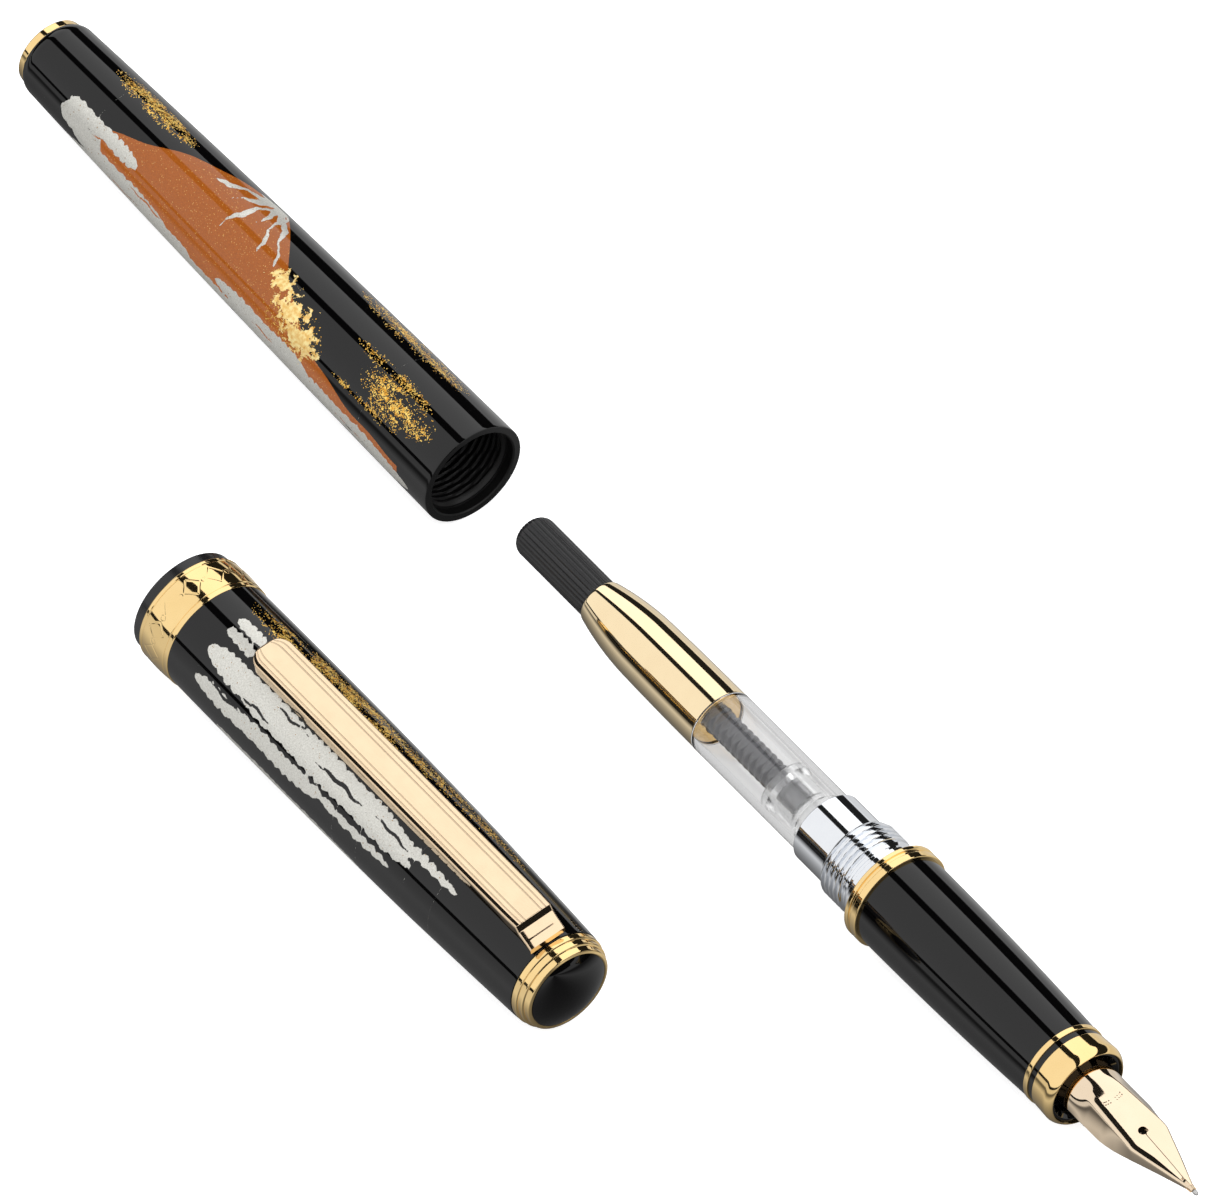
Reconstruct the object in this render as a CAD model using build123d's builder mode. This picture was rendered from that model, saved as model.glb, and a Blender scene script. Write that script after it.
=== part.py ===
from build123d import *
import math
import os

# A cartridge and converter fountain pen, taken apart and laid on a table.
# Millimetres. +X runs from the barrel's closed end towards the nib, +Z is up.
# The barrel and the grip section lie on one axis, the cap lies beside them in -Y.
# Each group has its own plane: local x runs along the axis, local y is the radius.

# Layout on the table
barrel_gap = 70.75        # barrel mouth to the section's flange, when unscrewed
cap_step_back = 3.4       # the cap's lip lies this far behind the barrel's mouth
cap_aside = 34.4          # between the two axes
barrel_end = -73.1        # measured from the barrel's mouth
nib_end = 51.8            # measured from the flange's rear face
band_radius = 6.66        # fattest place of the cap
mouth_radius = 6.09       # fattest place of the barrel
clip_roll = 8.0           # the clip leans this far over from straight up, in degrees
nib_roll = 8.0            # and so does the nib

# Grip section, from the flange's rear face at x = 0
flange_length = 1.8
flange_radius = 5.84
grip_front = 28.9
grip_rear_radius = 5.48
grip_front_radius = 4.87
spigot_radius = 4.35      # front spigot that carries the nose trim
nose_front = 33.3
coupling_rear = -10.8
coupling_collar_radius = 4.25
thread_rear = -5.6
thread_pitch = 0.72
thread_turns = 5
thread_crest = 4.80
thread_root = 4.45
coupling_bore = 3.87
housing_radius = 3.90
housing_bore = 3.38
nipple_radius = 1.35
nib_thickness = 0.35
nib_base_radius = 3.35
nib_hole_x = 43.0
slit_width = 0.12
feed_radius = 2.95
feed_front = 46.2
feed_front_radius = 0.60

# Converter, in the section's own coordinates
tube_radius = 3.82
tube_bore = 3.05
tube_front = -1.0
sleeve_front = -28.6
sleeve_rear = -48.9
sleeve_socket = 3.46
sleeve_nose_radius = 2.62  # where the sleeve meets the knob
bush_front = -28.5        # flat face that the rod comes out of
knob_end = -61.1
knob_radius = 2.36
knob_ribs = 22
shank_radius = 1.92
shank_bore = 1.70
rod_crest = 1.60
rod_root = 1.25
rod_flat = 1.27           # half the distance over the rod's two flats
rod_pitch = 1.0
rod_rear = -43.0
peg_radius = 1.50         # plain end of the rod, inside the seal
peg_front = -13.5
seal_rear = -17.4
seal_front = -10.8
seal_radius = 3.00

# Barrel, from its mouth at x = 0, its body towards -x
barrel_mid_radius = 5.52
barrel_tail_radius = 4.50
counterbore_radius = 5.18
counterbore_depth = 1.15
socket_crest = 4.90       # the female thread clears the coupling's crests
socket_root = 5.12
socket_turns = 8
end_ring_radius = 4.18
end_plug_radius = 3.30
end_bore = 1.52           # hole through the closed end that the plug's stem fills

# Cap, from its lip at x = 0, its body towards +x
lip_length = 1.25
lip_radius = 6.30
cap_bore = 5.94
liner_bore = 5.62
liner_inner = 5.20
liner_end = 51.5
band_front = 6.02
cap_shoulder = 63.45
cap_shoulder_radius = 5.66
stem_radius = 2.25
dome_radius = 4.57
dome_top = 67.0

# Clip
clip_width = 4.6
clip_tip = 15.4
clip_bend = 60.7
clip_top = 8.30
clip_height = 1.30
clip_groove = 0.10

fit = 0.02                # between pieces that are pressed or glued together

# Places in the shared frame: the bounding box is centred on x and y, its floor is z = 0
mouth_x = -(barrel_end + barrel_gap + nib_end) / 2
flange_x = mouth_x + barrel_gap
lip_x = mouth_x - cap_step_back
pen_y = (cap_aside + band_radius - mouth_radius) / 2
cap_y = pen_y - cap_aside
pen_z = mouth_radius
cap_z = band_radius


def lying(x, y, z, roll):
    """Plane whose local x is the shared +X and whose local y leans by roll degrees from +Z."""
    lean = math.radians(roll)
    return Plane(
        origin=(x, y, z),
        x_dir=(1, 0, 0),
        z_dir=(0, -math.cos(lean), -math.sin(lean)),
    )


section_plane = lying(flange_x, pen_y, pen_z, 0)
barrel_plane = lying(mouth_x, pen_y, pen_z, 0)
cap_plane = lying(lip_x, cap_y, cap_z, 0)
nib_plane = lying(flange_x, pen_y, pen_z, nib_roll)
clip_plane = lying(lip_x, cap_y, cap_z, clip_roll)
clip_plan = Plane(origin=clip_plane.origin, x_dir=(1, 0, 0), z_dir=clip_plane.y_dir)
nib_plan = Plane(origin=nib_plane.origin, x_dir=(1, 0, 0), z_dir=nib_plane.y_dir)
pen_axis = Axis((0, pen_y, pen_z), (1, 0, 0))
cap_axis = Axis((0, cap_y, cap_z), (1, 0, 0))


def across(plane, x):
    """Plane square to a group's axis at local x; its local x is sideways, its local y is up."""
    centre = plane.origin + plane.x_dir * x
    return Plane(origin=centre, x_dir=-plane.z_dir, z_dir=plane.x_dir)


def ridges(start, pitch, count, low, high):
    """Outline points of annular thread ridges, from start towards +x."""
    points = []
    for turn in range(count):
        root = start + turn * pitch
        points.append((root, low))
        points.append((root + 0.4 * pitch, high))
        points.append((root + 0.6 * pitch, high))
    points.append((start + count * pitch, low))
    return points


def finish(part, name):
    """Labels a finished piece and writes its file."""
    part.label = name
    export_step(part, f"parts/{name}.step")


os.makedirs("parts", exist_ok=True)

# ---------------------------------------------------------------- grip section

with BuildPart() as grip_shell:
    with BuildSketch(section_plane):
        with BuildLine():
            Line((flange_length, 4.22), (flange_length, grip_rear_radius))
            ThreePointArc(
                (flange_length, grip_rear_radius), (15.0, 5.35), (grip_front, grip_front_radius)
            )
            Polyline(
                (grip_front, grip_front_radius),
                (grip_front, spigot_radius),
                (33.0, spigot_radius),
                (33.0, 4.05),
                (32.2, 3.46),
                (31.4, 3.46),
                (31.4, housing_radius + fit),
                (9.1, housing_radius + fit),
                (9.1, 4.22),
                (flange_length, 4.22),
            )
        make_face()
    revolve(axis=pen_axis)
finish(grip_shell.part, "grip_shell")

with BuildPart() as flange_ring:
    with BuildSketch(section_plane):
        with BuildLine():
            Polyline(
                (0, 4.22),
                (0, flange_radius - 0.12),
                (0.12, flange_radius),
                (0.42, flange_radius),
                (0.56, 5.60),
                (0.94, 5.60),
                (1.08, flange_radius),
                (flange_length - 0.12, flange_radius),
                (flange_length, flange_radius - 0.12),
                (flange_length, 4.22),
                close=True,
            )
        make_face()
    revolve(axis=pen_axis)
finish(flange_ring.part, "flange_ring")

with BuildPart() as threaded_coupling:
    with BuildSketch(section_plane):
        with BuildLine():
            Polyline(
                (coupling_rear, coupling_bore + 0.1),
                (coupling_rear, 4.05),
                (coupling_rear + 0.3, coupling_collar_radius),
                (thread_rear - 0.15, coupling_collar_radius),
                *ridges(thread_rear, thread_pitch, thread_turns, thread_root, thread_crest),
                (-1.95, 4.38),
                (-1.25, 4.38),
                (-1.15, thread_crest),
                (0, thread_crest),
                (0, 4.20),
                (9.0, 4.20),
                (9.0, 3.50),
                (0.5, 3.50),
                (0.5, coupling_bore),
                (coupling_rear + 0.1, coupling_bore),
                close=True,
            )
        make_face()
    revolve(axis=pen_axis)
finish(threaded_coupling.part, "threaded_coupling")

with BuildPart() as feed_housing:
    with BuildSketch(section_plane):
        with BuildLine():
            Polyline(
                (-7.5, 0.50),
                (-7.5, 1.10),
                (-7.0, nipple_radius),
                (9.2, nipple_radius),
                (9.2, housing_radius),
                (31.3, housing_radius),
                (31.3, housing_bore),
                (11.2, housing_bore),
                (11.2, 0.50),
                close=True,
            )
        make_face()
    revolve(axis=pen_axis)
finish(feed_housing.part, "feed_housing")

with BuildPart() as feed:
    with BuildSketch(section_plane):
        with BuildLine():
            Polyline(
                (11.3, 0),
                (11.3, feed_radius),
                (36.0, feed_radius),
                (feed_front - 0.6, 1.10),
                (feed_front, feed_front_radius),
                (feed_front, 0),
                close=True,
            )
        make_face()
    revolve(axis=pen_axis)
    fin_places = [across(nib_plane, 35.2 + 1.0 * step).location for step in range(8)]
    with Locations(*[place * Location((0, -3.3, 0)) for place in fin_places]):
        Box(8.0, 3.6, 0.4, mode=Mode.SUBTRACT)
finish(feed.part, "feed")

# The nib is a curved plate. Each row gives a station along it: place, half width,
# height of its crown above the axis and height of its two edges.
nib_stations = [
    (22.0, 3.28, nib_base_radius, 0.60),
    (40.5, 3.28, nib_base_radius, 0.60),
    (43.6, 2.75, 2.98, 1.00),
    (47.4, 1.40, 1.98, 1.15),
    (51.1, 0.30, 1.05, 0.88),
]

with BuildPart() as nib:
    for place, half, crown, edge in nib_stations:
        with BuildSketch(across(nib_plane, place)):
            with BuildLine():
                ThreePointArc((-half, edge), (0, crown), (half, edge))
                Line((half, edge), (half - 0.7 * nib_thickness, edge - 0.7 * nib_thickness))
                ThreePointArc(
                    (half - 0.7 * nib_thickness, edge - 0.7 * nib_thickness),
                    (0, crown - nib_thickness),
                    (0.7 * nib_thickness - half, edge - 0.7 * nib_thickness),
                )
                Line((0.7 * nib_thickness - half, edge - 0.7 * nib_thickness), (-half, edge))
            make_face()
    loft(ruled=True)
    with BuildSketch(nib_plan):
        with Locations((nib_hole_x, 0)):
            Circle(0.5)
        with Locations(((nib_hole_x + 52.0) / 2, 0)):
            Rectangle(52.0 - nib_hole_x, slit_width)
    extrude(amount=6.0, mode=Mode.SUBTRACT)
finish(nib.part, "nib")

with BuildPart() as nib_tipping:
    with BuildSketch(nib_plane):
        with BuildLine():
            Polyline((51.15, 0.66), (51.15, 1.06), (51.5, 1.12))
            ThreePointArc((51.5, 1.12), (nib_end, 0.86), (51.5, 0.58))
            Line((51.5, 0.58), (51.15, 0.66))
        make_face()
    extrude(amount=0.32, both=True)
finish(nib_tipping.part, "nib_tipping")

with BuildPart() as nose_ring:
    with BuildSketch(section_plane):
        with BuildLine():
            Polyline(
                (grip_front, spigot_radius + fit),
                (grip_front, 4.88),
                (grip_front + 0.12, 4.95),
                (29.48, 4.95),
                (29.56, 4.88),
                (29.56, spigot_radius + fit),
                close=True,
            )
        make_face()
    revolve(axis=pen_axis)
finish(nose_ring.part, "nose_ring")

with BuildPart() as nose_spacer:
    with BuildSketch(section_plane):
        with BuildLine():
            Polyline(
                (29.56, spigot_radius + fit),
                (29.56, 4.78),
                (30.28, 4.78),
                (30.28, spigot_radius + fit),
                close=True,
            )
        make_face()
    revolve(axis=pen_axis)
finish(nose_spacer.part, "nose_spacer")

with BuildPart() as nose_collar:
    with BuildSketch(section_plane):
        with BuildLine():
            Polyline((30.28, spigot_radius + fit), (30.28, 4.82), (30.36, 4.87), (32.4, 4.98))
            ThreePointArc((32.4, 4.98), (32.85, 4.84), (nose_front - 0.05, 4.56))
            Polyline(
                (nose_front - 0.05, 4.56),
                (nose_front, 4.50),
                (nose_front, 4.42),
                (33.1, spigot_radius + fit),
                (30.28, spigot_radius + fit),
            )
        make_face()
    revolve(axis=pen_axis)
finish(nose_collar.part, "nose_collar")

# ------------------------------------------------------------------- converter

with BuildPart() as converter_tube:
    with BuildSketch(section_plane):
        with BuildLine():
            Polyline(
                (sleeve_front - 6.4, tube_bore),
                (sleeve_front - 6.4, sleeve_socket - fit),
                (sleeve_front, sleeve_socket - fit),
                (sleeve_front, tube_radius),
                (tube_front - 0.2, tube_radius),
                (tube_front, tube_radius - 0.2),
                (tube_front, tube_bore),
                close=True,
            )
        make_face()
    revolve(axis=pen_axis)
finish(converter_tube.part, "converter_tube")

with BuildPart() as mouth_plug:
    with BuildSketch(section_plane):
        with BuildLine():
            Polyline(
                (-9.6, nipple_radius + 0.05),
                (-9.6, 2.2),
                (-8.8, tube_bore - fit),
                (tube_front - 0.3, tube_bore - fit),
                (tube_front - 0.3, 2.0),
                (tube_front - 1.0, nipple_radius + 0.05),
                close=True,
            )
        make_face()
    revolve(axis=pen_axis)
finish(mouth_plug.part, "mouth_plug")

with BuildPart() as converter_sleeve:
    with BuildSketch(section_plane):
        with BuildLine():
            Polyline(
                (sleeve_rear, 1.98),
                (sleeve_rear, sleeve_nose_radius - 0.1),
                (sleeve_rear + 0.1, sleeve_nose_radius),
            )
            ThreePointArc((sleeve_rear + 0.1, sleeve_nose_radius), (-45.6, 3.24), (-40.6, 3.66))
            Polyline(
                (-40.6, 3.66),
                (sleeve_front - 0.1, 3.80),
                (sleeve_front, 3.72),
                (sleeve_front, sleeve_socket),
                (sleeve_front - 6.5, sleeve_socket),
                (sleeve_front - 6.5, 3.10),
                (-41.0, 3.10),
                (-45.6, 2.76),
                (-47.6, 2.40),
                (-47.6, 1.98),
                (sleeve_rear, 1.98),
            )
        make_face()
    revolve(axis=pen_axis)
finish(converter_sleeve.part, "converter_sleeve")

with BuildPart() as guide_bush:
    with BuildSketch(section_plane):
        with BuildLine():
            Polyline(
                (-34.9, 0),
                (-34.9, tube_bore - fit),
                (bush_front - 0.15, tube_bore - fit),
                (bush_front, 2.85),
                (bush_front, 0),
                close=True,
            )
        make_face()
    revolve(axis=pen_axis)
    with BuildSketch(across(nib_plane, -36.0)):
        Circle(rod_crest + 0.08)
        Rectangle(6.0, 2 * rod_flat + 0.1, mode=Mode.INTERSECT)
    extrude(amount=14.0, mode=Mode.SUBTRACT)
finish(guide_bush.part, "guide_bush")

with BuildPart() as converter_knob:
    with BuildSketch(across(section_plane, knob_end)):
        Circle(knob_radius)
        with PolarLocations(knob_radius + 0.05, knob_ribs):
            Circle(0.17, mode=Mode.SUBTRACT)
    extrude(amount=sleeve_rear - 0.06 - knob_end)
    with BuildSketch(section_plane):
        with BuildLine():
            Polyline(
                (sleeve_rear - 0.06, shank_bore),
                (sleeve_rear - 0.06, shank_radius),
                (-45.4, shank_radius),
                (-45.4, 2.55),
                (-44.4, 2.55),
                (-44.4, shank_radius),
                (-35.1, shank_radius),
                (-35.1, shank_bore),
                close=True,
            )
        make_face()
    revolve(axis=pen_axis)
    with BuildSketch(across(section_plane, sleeve_rear - 3.1)):
        Circle(shank_bore)
    extrude(amount=6.0, mode=Mode.SUBTRACT)
    with BuildSketch(section_plane):
        with BuildLine():
            Polyline((knob_end + 0.9, 2.6), (knob_end - 0.1, 2.6), (knob_end - 0.1, 1.5))
            Line((knob_end - 0.1, 1.5), (knob_end, 1.5))
            ThreePointArc((knob_end, 1.5), (knob_end + 0.25, 2.08), (knob_end + 0.9, knob_radius))
            Line((knob_end + 0.9, knob_radius), (knob_end + 0.9, 2.6))
        make_face()
    revolve(axis=pen_axis, mode=Mode.SUBTRACT)
finish(converter_knob.part, "converter_knob")

rod_threads = int((seal_rear - rod_rear) / rod_pitch)

with BuildPart() as piston_rod:
    with BuildSketch(section_plane):
        with BuildLine():
            Polyline(
                (rod_rear, 0),
                *ridges(rod_rear, rod_pitch, rod_threads, rod_root, rod_crest),
                (seal_rear + 0.1, rod_root),
                (seal_rear + 0.1, peg_radius),
                (peg_front, peg_radius),
                (peg_front, 0),
                close=True,
            )
        make_face()
    revolve(axis=pen_axis)
    with BuildSketch(across(nib_plane, rod_rear - 1.0)):
        Rectangle(8.0, 8.0)
        Rectangle(8.0, 2 * rod_flat, mode=Mode.SUBTRACT)
    extrude(amount=seal_rear - rod_rear + 1.0, mode=Mode.SUBTRACT)
finish(piston_rod.part, "piston_rod")

with BuildPart() as piston_seal:
    with BuildSketch(section_plane):
        with BuildLine():
            Polyline(
                (seal_rear + 0.12, peg_radius + fit),
                (seal_rear + 0.12, 2.80),
                (seal_rear, 2.92),
                (seal_rear + 0.2, seal_radius),
                (seal_rear + 0.9, seal_radius),
                (seal_rear + 1.5, 2.55),
                (seal_front - 1.5, 2.55),
                (seal_front - 0.9, seal_radius),
                (seal_front - 0.2, seal_radius),
                (seal_front, 2.85),
                (seal_front - 0.9, 0.6),
                (seal_front - 0.9, 0),
                (peg_front + fit, 0),
                (peg_front + fit, peg_radius + fit),
                close=True,
            )
        make_face()
    revolve(axis=pen_axis)
finish(piston_seal.part, "piston_seal")

# ---------------------------------------------------------------------- barrel

with BuildPart() as barrel_tube:
    with BuildSketch(barrel_plane):
        with BuildLine():
            Polyline((0, counterbore_radius + 0.15), (0, mouth_radius - 0.1), (-0.1, mouth_radius))
            ThreePointArc((-0.1, mouth_radius), (-35.0, barrel_mid_radius), (-70.9, barrel_tail_radius))
            ThreePointArc((-70.9, barrel_tail_radius), (-71.7, 4.38), (barrel_end + 1.0, end_ring_radius))
            Polyline(
                (barrel_end + 1.0, end_ring_radius),
                (barrel_end + 1.0, end_bore),
                (-66.5, end_bore),
                (-66.5, 3.20),
                (-63.0, 3.75),
                (-40.0, 4.55),
                (-9.0, 4.70),
                *ridges(-8.2, 0.75, socket_turns, socket_crest, socket_root),
                (-1.9, socket_crest),
                (-1.4, socket_crest),
                (-counterbore_depth, counterbore_radius),
                (-0.15, counterbore_radius),
                (0, counterbore_radius + 0.15),
            )
        make_face()
    revolve(axis=pen_axis)
finish(barrel_tube.part, "barrel_tube")

with BuildPart() as barrel_end_ring:
    with BuildSketch(barrel_plane):
        with BuildLine():
            Polyline(
                (barrel_end + 1.0, end_bore),
                (barrel_end + 1.0, end_ring_radius),
                (barrel_end + 0.12, 4.04),
                (barrel_end, 3.92),
                (barrel_end, end_plug_radius + fit),
                (barrel_end + 0.6, end_plug_radius + fit),
                (barrel_end + 0.6, end_bore),
                close=True,
            )
        make_face()
    revolve(axis=pen_axis)
finish(barrel_end_ring.part, "barrel_end_ring")

with BuildPart() as barrel_end_plug:
    with BuildSketch(barrel_plane):
        with BuildLine():
            Polyline(
                (barrel_end, 0),
                (barrel_end, end_plug_radius - 0.1),
                (barrel_end + 0.1, end_plug_radius),
                (barrel_end + 0.6, end_plug_radius),
                (barrel_end + 0.6, 1.50),
                (-66.2, 1.50),
                (-66.2, 0),
                close=True,
            )
        make_face()
    revolve(axis=pen_axis)
finish(barrel_end_plug.part, "barrel_end_plug")

# ------------------------------------------------------------------------- cap

with BuildPart() as cap_tube:
    with BuildSketch(cap_plane):
        with BuildLine():
            Polyline(
                (lip_length, cap_bore), (lip_length, 6.15), (band_front, 6.15), (band_front, 6.43)
            )
            ThreePointArc((band_front, 6.43), (26.0, 6.49), (46.0, 6.26))
            ThreePointArc((46.0, 6.26), (55.0, 5.97), (cap_shoulder, cap_shoulder_radius))
            Polyline(
                (cap_shoulder, cap_shoulder_radius),
                (cap_shoulder, stem_radius + fit),
                (61.5, stem_radius + fit),
                (61.5, 4.90),
                (53.0, cap_bore),
                (lip_length, cap_bore),
            )
        make_face()
    revolve(axis=cap_axis)
finish(cap_tube.part, "cap_tube")

with BuildPart() as inner_cap:
    with BuildSketch(cap_plane):
        with BuildLine():
            Polyline(
                (0, liner_bore + 0.15),
                (0, lip_radius - 0.12),
                (0.12, lip_radius),
                (lip_length, lip_radius),
                (lip_length, cap_bore - fit),
                (liner_end - 1.5, cap_bore - fit),
                (liner_end, liner_inner),
                (liner_end, 0),
                (liner_end - 0.8, 0),
                (liner_end - 0.8, liner_inner - 0.4),
                (liner_end - 1.6, liner_inner),
                (28.0, liner_inner),
                (27.0, liner_bore),
                (0.15, liner_bore),
                close=True,
            )
        make_face()
    revolve(axis=cap_axis)
finish(inner_cap.part, "inner_cap")

with BuildPart() as cap_band:
    with BuildSketch(cap_plane):
        with BuildLine():
            Polyline(
                (lip_length, 6.17),
                (lip_length, 6.48),
                (1.36, 6.58),
                (1.66, 6.60),
                (1.78, 6.48),
                (1.86, 6.60),
            )
            ThreePointArc((1.86, 6.60), (3.5, band_radius), (5.28, 6.58))
            Polyline(
                (5.28, 6.58),
                (5.38, 6.46),
                (5.50, 6.57),
                (5.88, 6.56),
                (band_front, 6.46),
                (band_front, 6.17),
                (lip_length, 6.17),
            )
        make_face()
    revolve(axis=cap_axis)
finish(cap_band.part, "cap_band")

with BuildPart() as clip_washer:
    with BuildSketch(cap_plane):
        with BuildLine():
            Polyline(
                (cap_shoulder, stem_radius + fit),
                (cap_shoulder, 4.95),
                (cap_shoulder + 0.5, 4.95),
                (cap_shoulder + 0.5, stem_radius + fit),
                close=True,
            )
        make_face()
    revolve(axis=cap_axis)
finish(clip_washer.part, "clip_washer")

with BuildPart() as crown_rings:
    with BuildSketch(cap_plane):
        with BuildLine():
            Polyline(
                (cap_shoulder + 0.02, 4.97),
                (cap_shoulder + 0.02, 5.52),
                (63.60, 5.62),
                (64.28, 5.62),
                (64.42, 5.44),
                (64.52, 5.38),
                (65.00, 5.34),
                (65.12, 5.14),
                (65.20, 5.08),
                (65.60, 4.94),
                (65.75, 4.74),
                (65.70, dome_radius + 0.02),
                (65.10, dome_radius + 0.02),
                (65.10, stem_radius + fit),
                (cap_shoulder + 0.52, stem_radius + fit),
                (cap_shoulder + 0.52, 4.97),
                close=True,
            )
        make_face()
    revolve(axis=cap_axis)
finish(crown_rings.part, "crown_rings")

dome_rise = dome_top - 65.72
dome_sphere = dome_radius**2 / (2 * dome_rise) + dome_rise / 2

with BuildPart() as finial:
    with BuildSketch(cap_plane):
        with BuildLine():
            Polyline(
                (57.0, 0),
                (57.0, stem_radius),
                (65.10, stem_radius),
                (65.10, dome_radius),
                (65.72, dome_radius),
            )
            RadiusArc((65.72, dome_radius), (dome_top, 0), dome_sphere)
            Line((dome_top, 0), (57.0, 0))
        make_face()
    revolve(axis=cap_axis)
finish(finial.part, "finial")

with BuildPart() as finial_nut:
    with BuildSketch(across(cap_plane, 58.9)):
        RegularPolygon(radius=4.3, side_count=6)
        Circle(stem_radius + fit, mode=Mode.SUBTRACT)
    extrude(amount=61.5 - 58.9)
finish(finial_nut.part, "finial_nut")

with BuildPart() as clip:
    with BuildSketch(clip_plane):
        with BuildLine():
            Polyline(
                (clip_tip, clip_top - clip_height),
                (clip_tip, clip_top - 0.5),
                (clip_tip + 0.5, clip_top),
                (clip_bend, clip_top),
                (61.35, 7.95),
                (cap_shoulder - 0.06, 6.40),
                (cap_shoulder - 0.06, 5.71),
                (62.55, 5.92),
                (61.20, clip_top - clip_height),
                close=True,
            )
        make_face()
    extrude(amount=clip_width / 2, both=True)
    with BuildSketch(clip_plan):
        with Locations(((clip_tip + 80.0) / 2, 0)):
            RectangleRounded(80.0 - clip_tip, clip_width, 1.9)
    extrude(amount=12.0, mode=Mode.INTERSECT)
    with BuildSketch(clip_plan):
        with Locations((38.0, 0)):
            Rectangle(40.0, clip_width - 1.1)
    extrude(amount=clip_top - 0.55, mode=Mode.SUBTRACT)
    with BuildSketch(clip_plan.offset(clip_top - clip_groove)):
        with Locations((38.0, -1.62), (38.0, -1.05), (38.0, 1.05), (38.0, 1.62)):
            Rectangle(43.6, 0.14)
    extrude(amount=1.0, mode=Mode.SUBTRACT)
    with BuildSketch(clip_plane):
        with BuildLine():
            Polyline((16.4, 7.2), (16.4, 7.0), (17.0, 6.56))
            Polyline((17.0, 6.56), (18.2, 6.56), (18.8, 7.0), (18.8, 7.2), (16.4, 7.2))
        make_face()
    extrude(amount=0.8, both=True)
finish(clip.part, "clip")
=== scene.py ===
import math

import bpy
import numpy as np
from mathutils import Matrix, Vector


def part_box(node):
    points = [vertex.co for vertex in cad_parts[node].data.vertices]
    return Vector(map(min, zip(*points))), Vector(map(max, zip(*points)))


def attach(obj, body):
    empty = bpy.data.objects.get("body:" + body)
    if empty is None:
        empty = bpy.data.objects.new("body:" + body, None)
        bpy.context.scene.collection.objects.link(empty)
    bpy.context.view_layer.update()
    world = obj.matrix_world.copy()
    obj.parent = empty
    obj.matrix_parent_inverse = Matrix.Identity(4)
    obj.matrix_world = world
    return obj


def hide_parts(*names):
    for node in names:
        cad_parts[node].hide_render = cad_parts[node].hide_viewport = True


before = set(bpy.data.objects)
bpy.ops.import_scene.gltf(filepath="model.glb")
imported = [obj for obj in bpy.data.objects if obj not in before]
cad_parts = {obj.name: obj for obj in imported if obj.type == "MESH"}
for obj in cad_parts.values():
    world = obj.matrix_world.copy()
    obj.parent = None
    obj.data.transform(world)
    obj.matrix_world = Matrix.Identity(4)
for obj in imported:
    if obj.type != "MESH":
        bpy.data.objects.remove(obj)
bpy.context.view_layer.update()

# A fountain pen, taken apart. Pieces are worked out in millimetres in their own group's
# frame: `along` the axis, `side` to the right of it and `up` from it.
MM = 0.001


def middle(node):
    """Centre of a CAD node, in millimetres."""
    low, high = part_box(node)
    return (low + high) / (2 * MM)


pen_middle, cap_middle = middle("grip_shell"), middle("cap_tube")
flange_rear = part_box("flange_ring")[0].x / MM
barrel_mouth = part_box("barrel_tube")[1].x / MM
cap_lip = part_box("inner_cap")[0].x / MM

# A seat is where a group's frame lies: its origin, and how far its `up` leans over, in degrees.
SECTION = (flange_rear, pen_middle.y, pen_middle.z, 0.0)
NIB = (flange_rear, pen_middle.y, pen_middle.z, 8.0)
BARREL = (barrel_mouth, pen_middle.y, pen_middle.z, 0.0)
CAP = (cap_lip, cap_middle.y, cap_middle.z, 0.0)
CLIP = (cap_lip, cap_middle.y, cap_middle.z, 8.0)

# Places along the section, from the rear face of its flange forwards.
KNOB_REAR, SLEEVE_REAR, SLEEVE_FRONT, TUBE_FRONT = -61.1, -48.9, -28.6, -1.0
ROD_THREAD_FRONT, ROD_FRONT, FLANGE_FRONT, GRIP_FRONT = -17.28, -13.5, 1.8, 28.9
NOSE_RING_FRONT, SPACER_FRONT, COLLAR_FRONT = 29.56, 30.28, 33.3

# Places along the barrel, from its mouth, and along the cap, from its lip.
BARREL_TUBE_REAR, BARREL_REAR = -72.1, -73.1
BAND_REAR, BAND_FRONT, CAP_TUBE_FRONT, CROWN_FRONT = 1.25, 6.02, 63.45, 65.75

# Radii that neighbouring pieces share.
TUBE_SKIN, TUBE_BORE, COLLAR_BORE, STEM = 3.82, 3.05, 4.40, 2.28


# ------------------------------------------------------------------ shapes

def laid(seat, along, side, up):
    """Points of a group's own frame moved to the shared frame, in metres."""
    x, y, z, lean = seat
    c, s = math.cos(math.radians(lean)), math.sin(math.radians(lean))
    along, side, up = np.broadcast_arrays(along, side, up)
    return np.stack([x + along, y + side * c - up * s, z + side * s + up * c], axis=-1) * MM


def step(low, high, value):
    """0 below low, 1 above high, and an even S between them."""
    t = np.clip((value - low) / (high - low), 0, 1)
    return t * t * (3 - 2 * t)


def spaced(*stops):
    """Places along a line: each stop after the first is (place, step), evenly filled up to it."""
    places = [np.array([float(stops[0])])]
    for place, gap in stops[1:]:
        start = places[-1][-1]
        count = max(1, int(math.ceil(abs(place - start) / gap)))
        places.append(np.linspace(start, place, count + 1)[1:])
    return np.concatenate(places)


def eased(places, stations, values, blur=0.5):
    """Straight runs between the values, averaged over blur millimetres each way along the line."""
    fine_step = 0.025
    fine = np.arange(stations[0] - 2 * blur, stations[-1] + 2 * blur, fine_step)
    run = np.interp(fine, stations, values)
    reach = int(round(blur / fine_step))
    kernel = np.hanning(2 * reach + 1)
    blurred = np.convolve(np.pad(run, reach, mode="edge"), kernel / kernel.sum(), mode="valid")
    return np.interp(places, fine, blurred)


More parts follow.
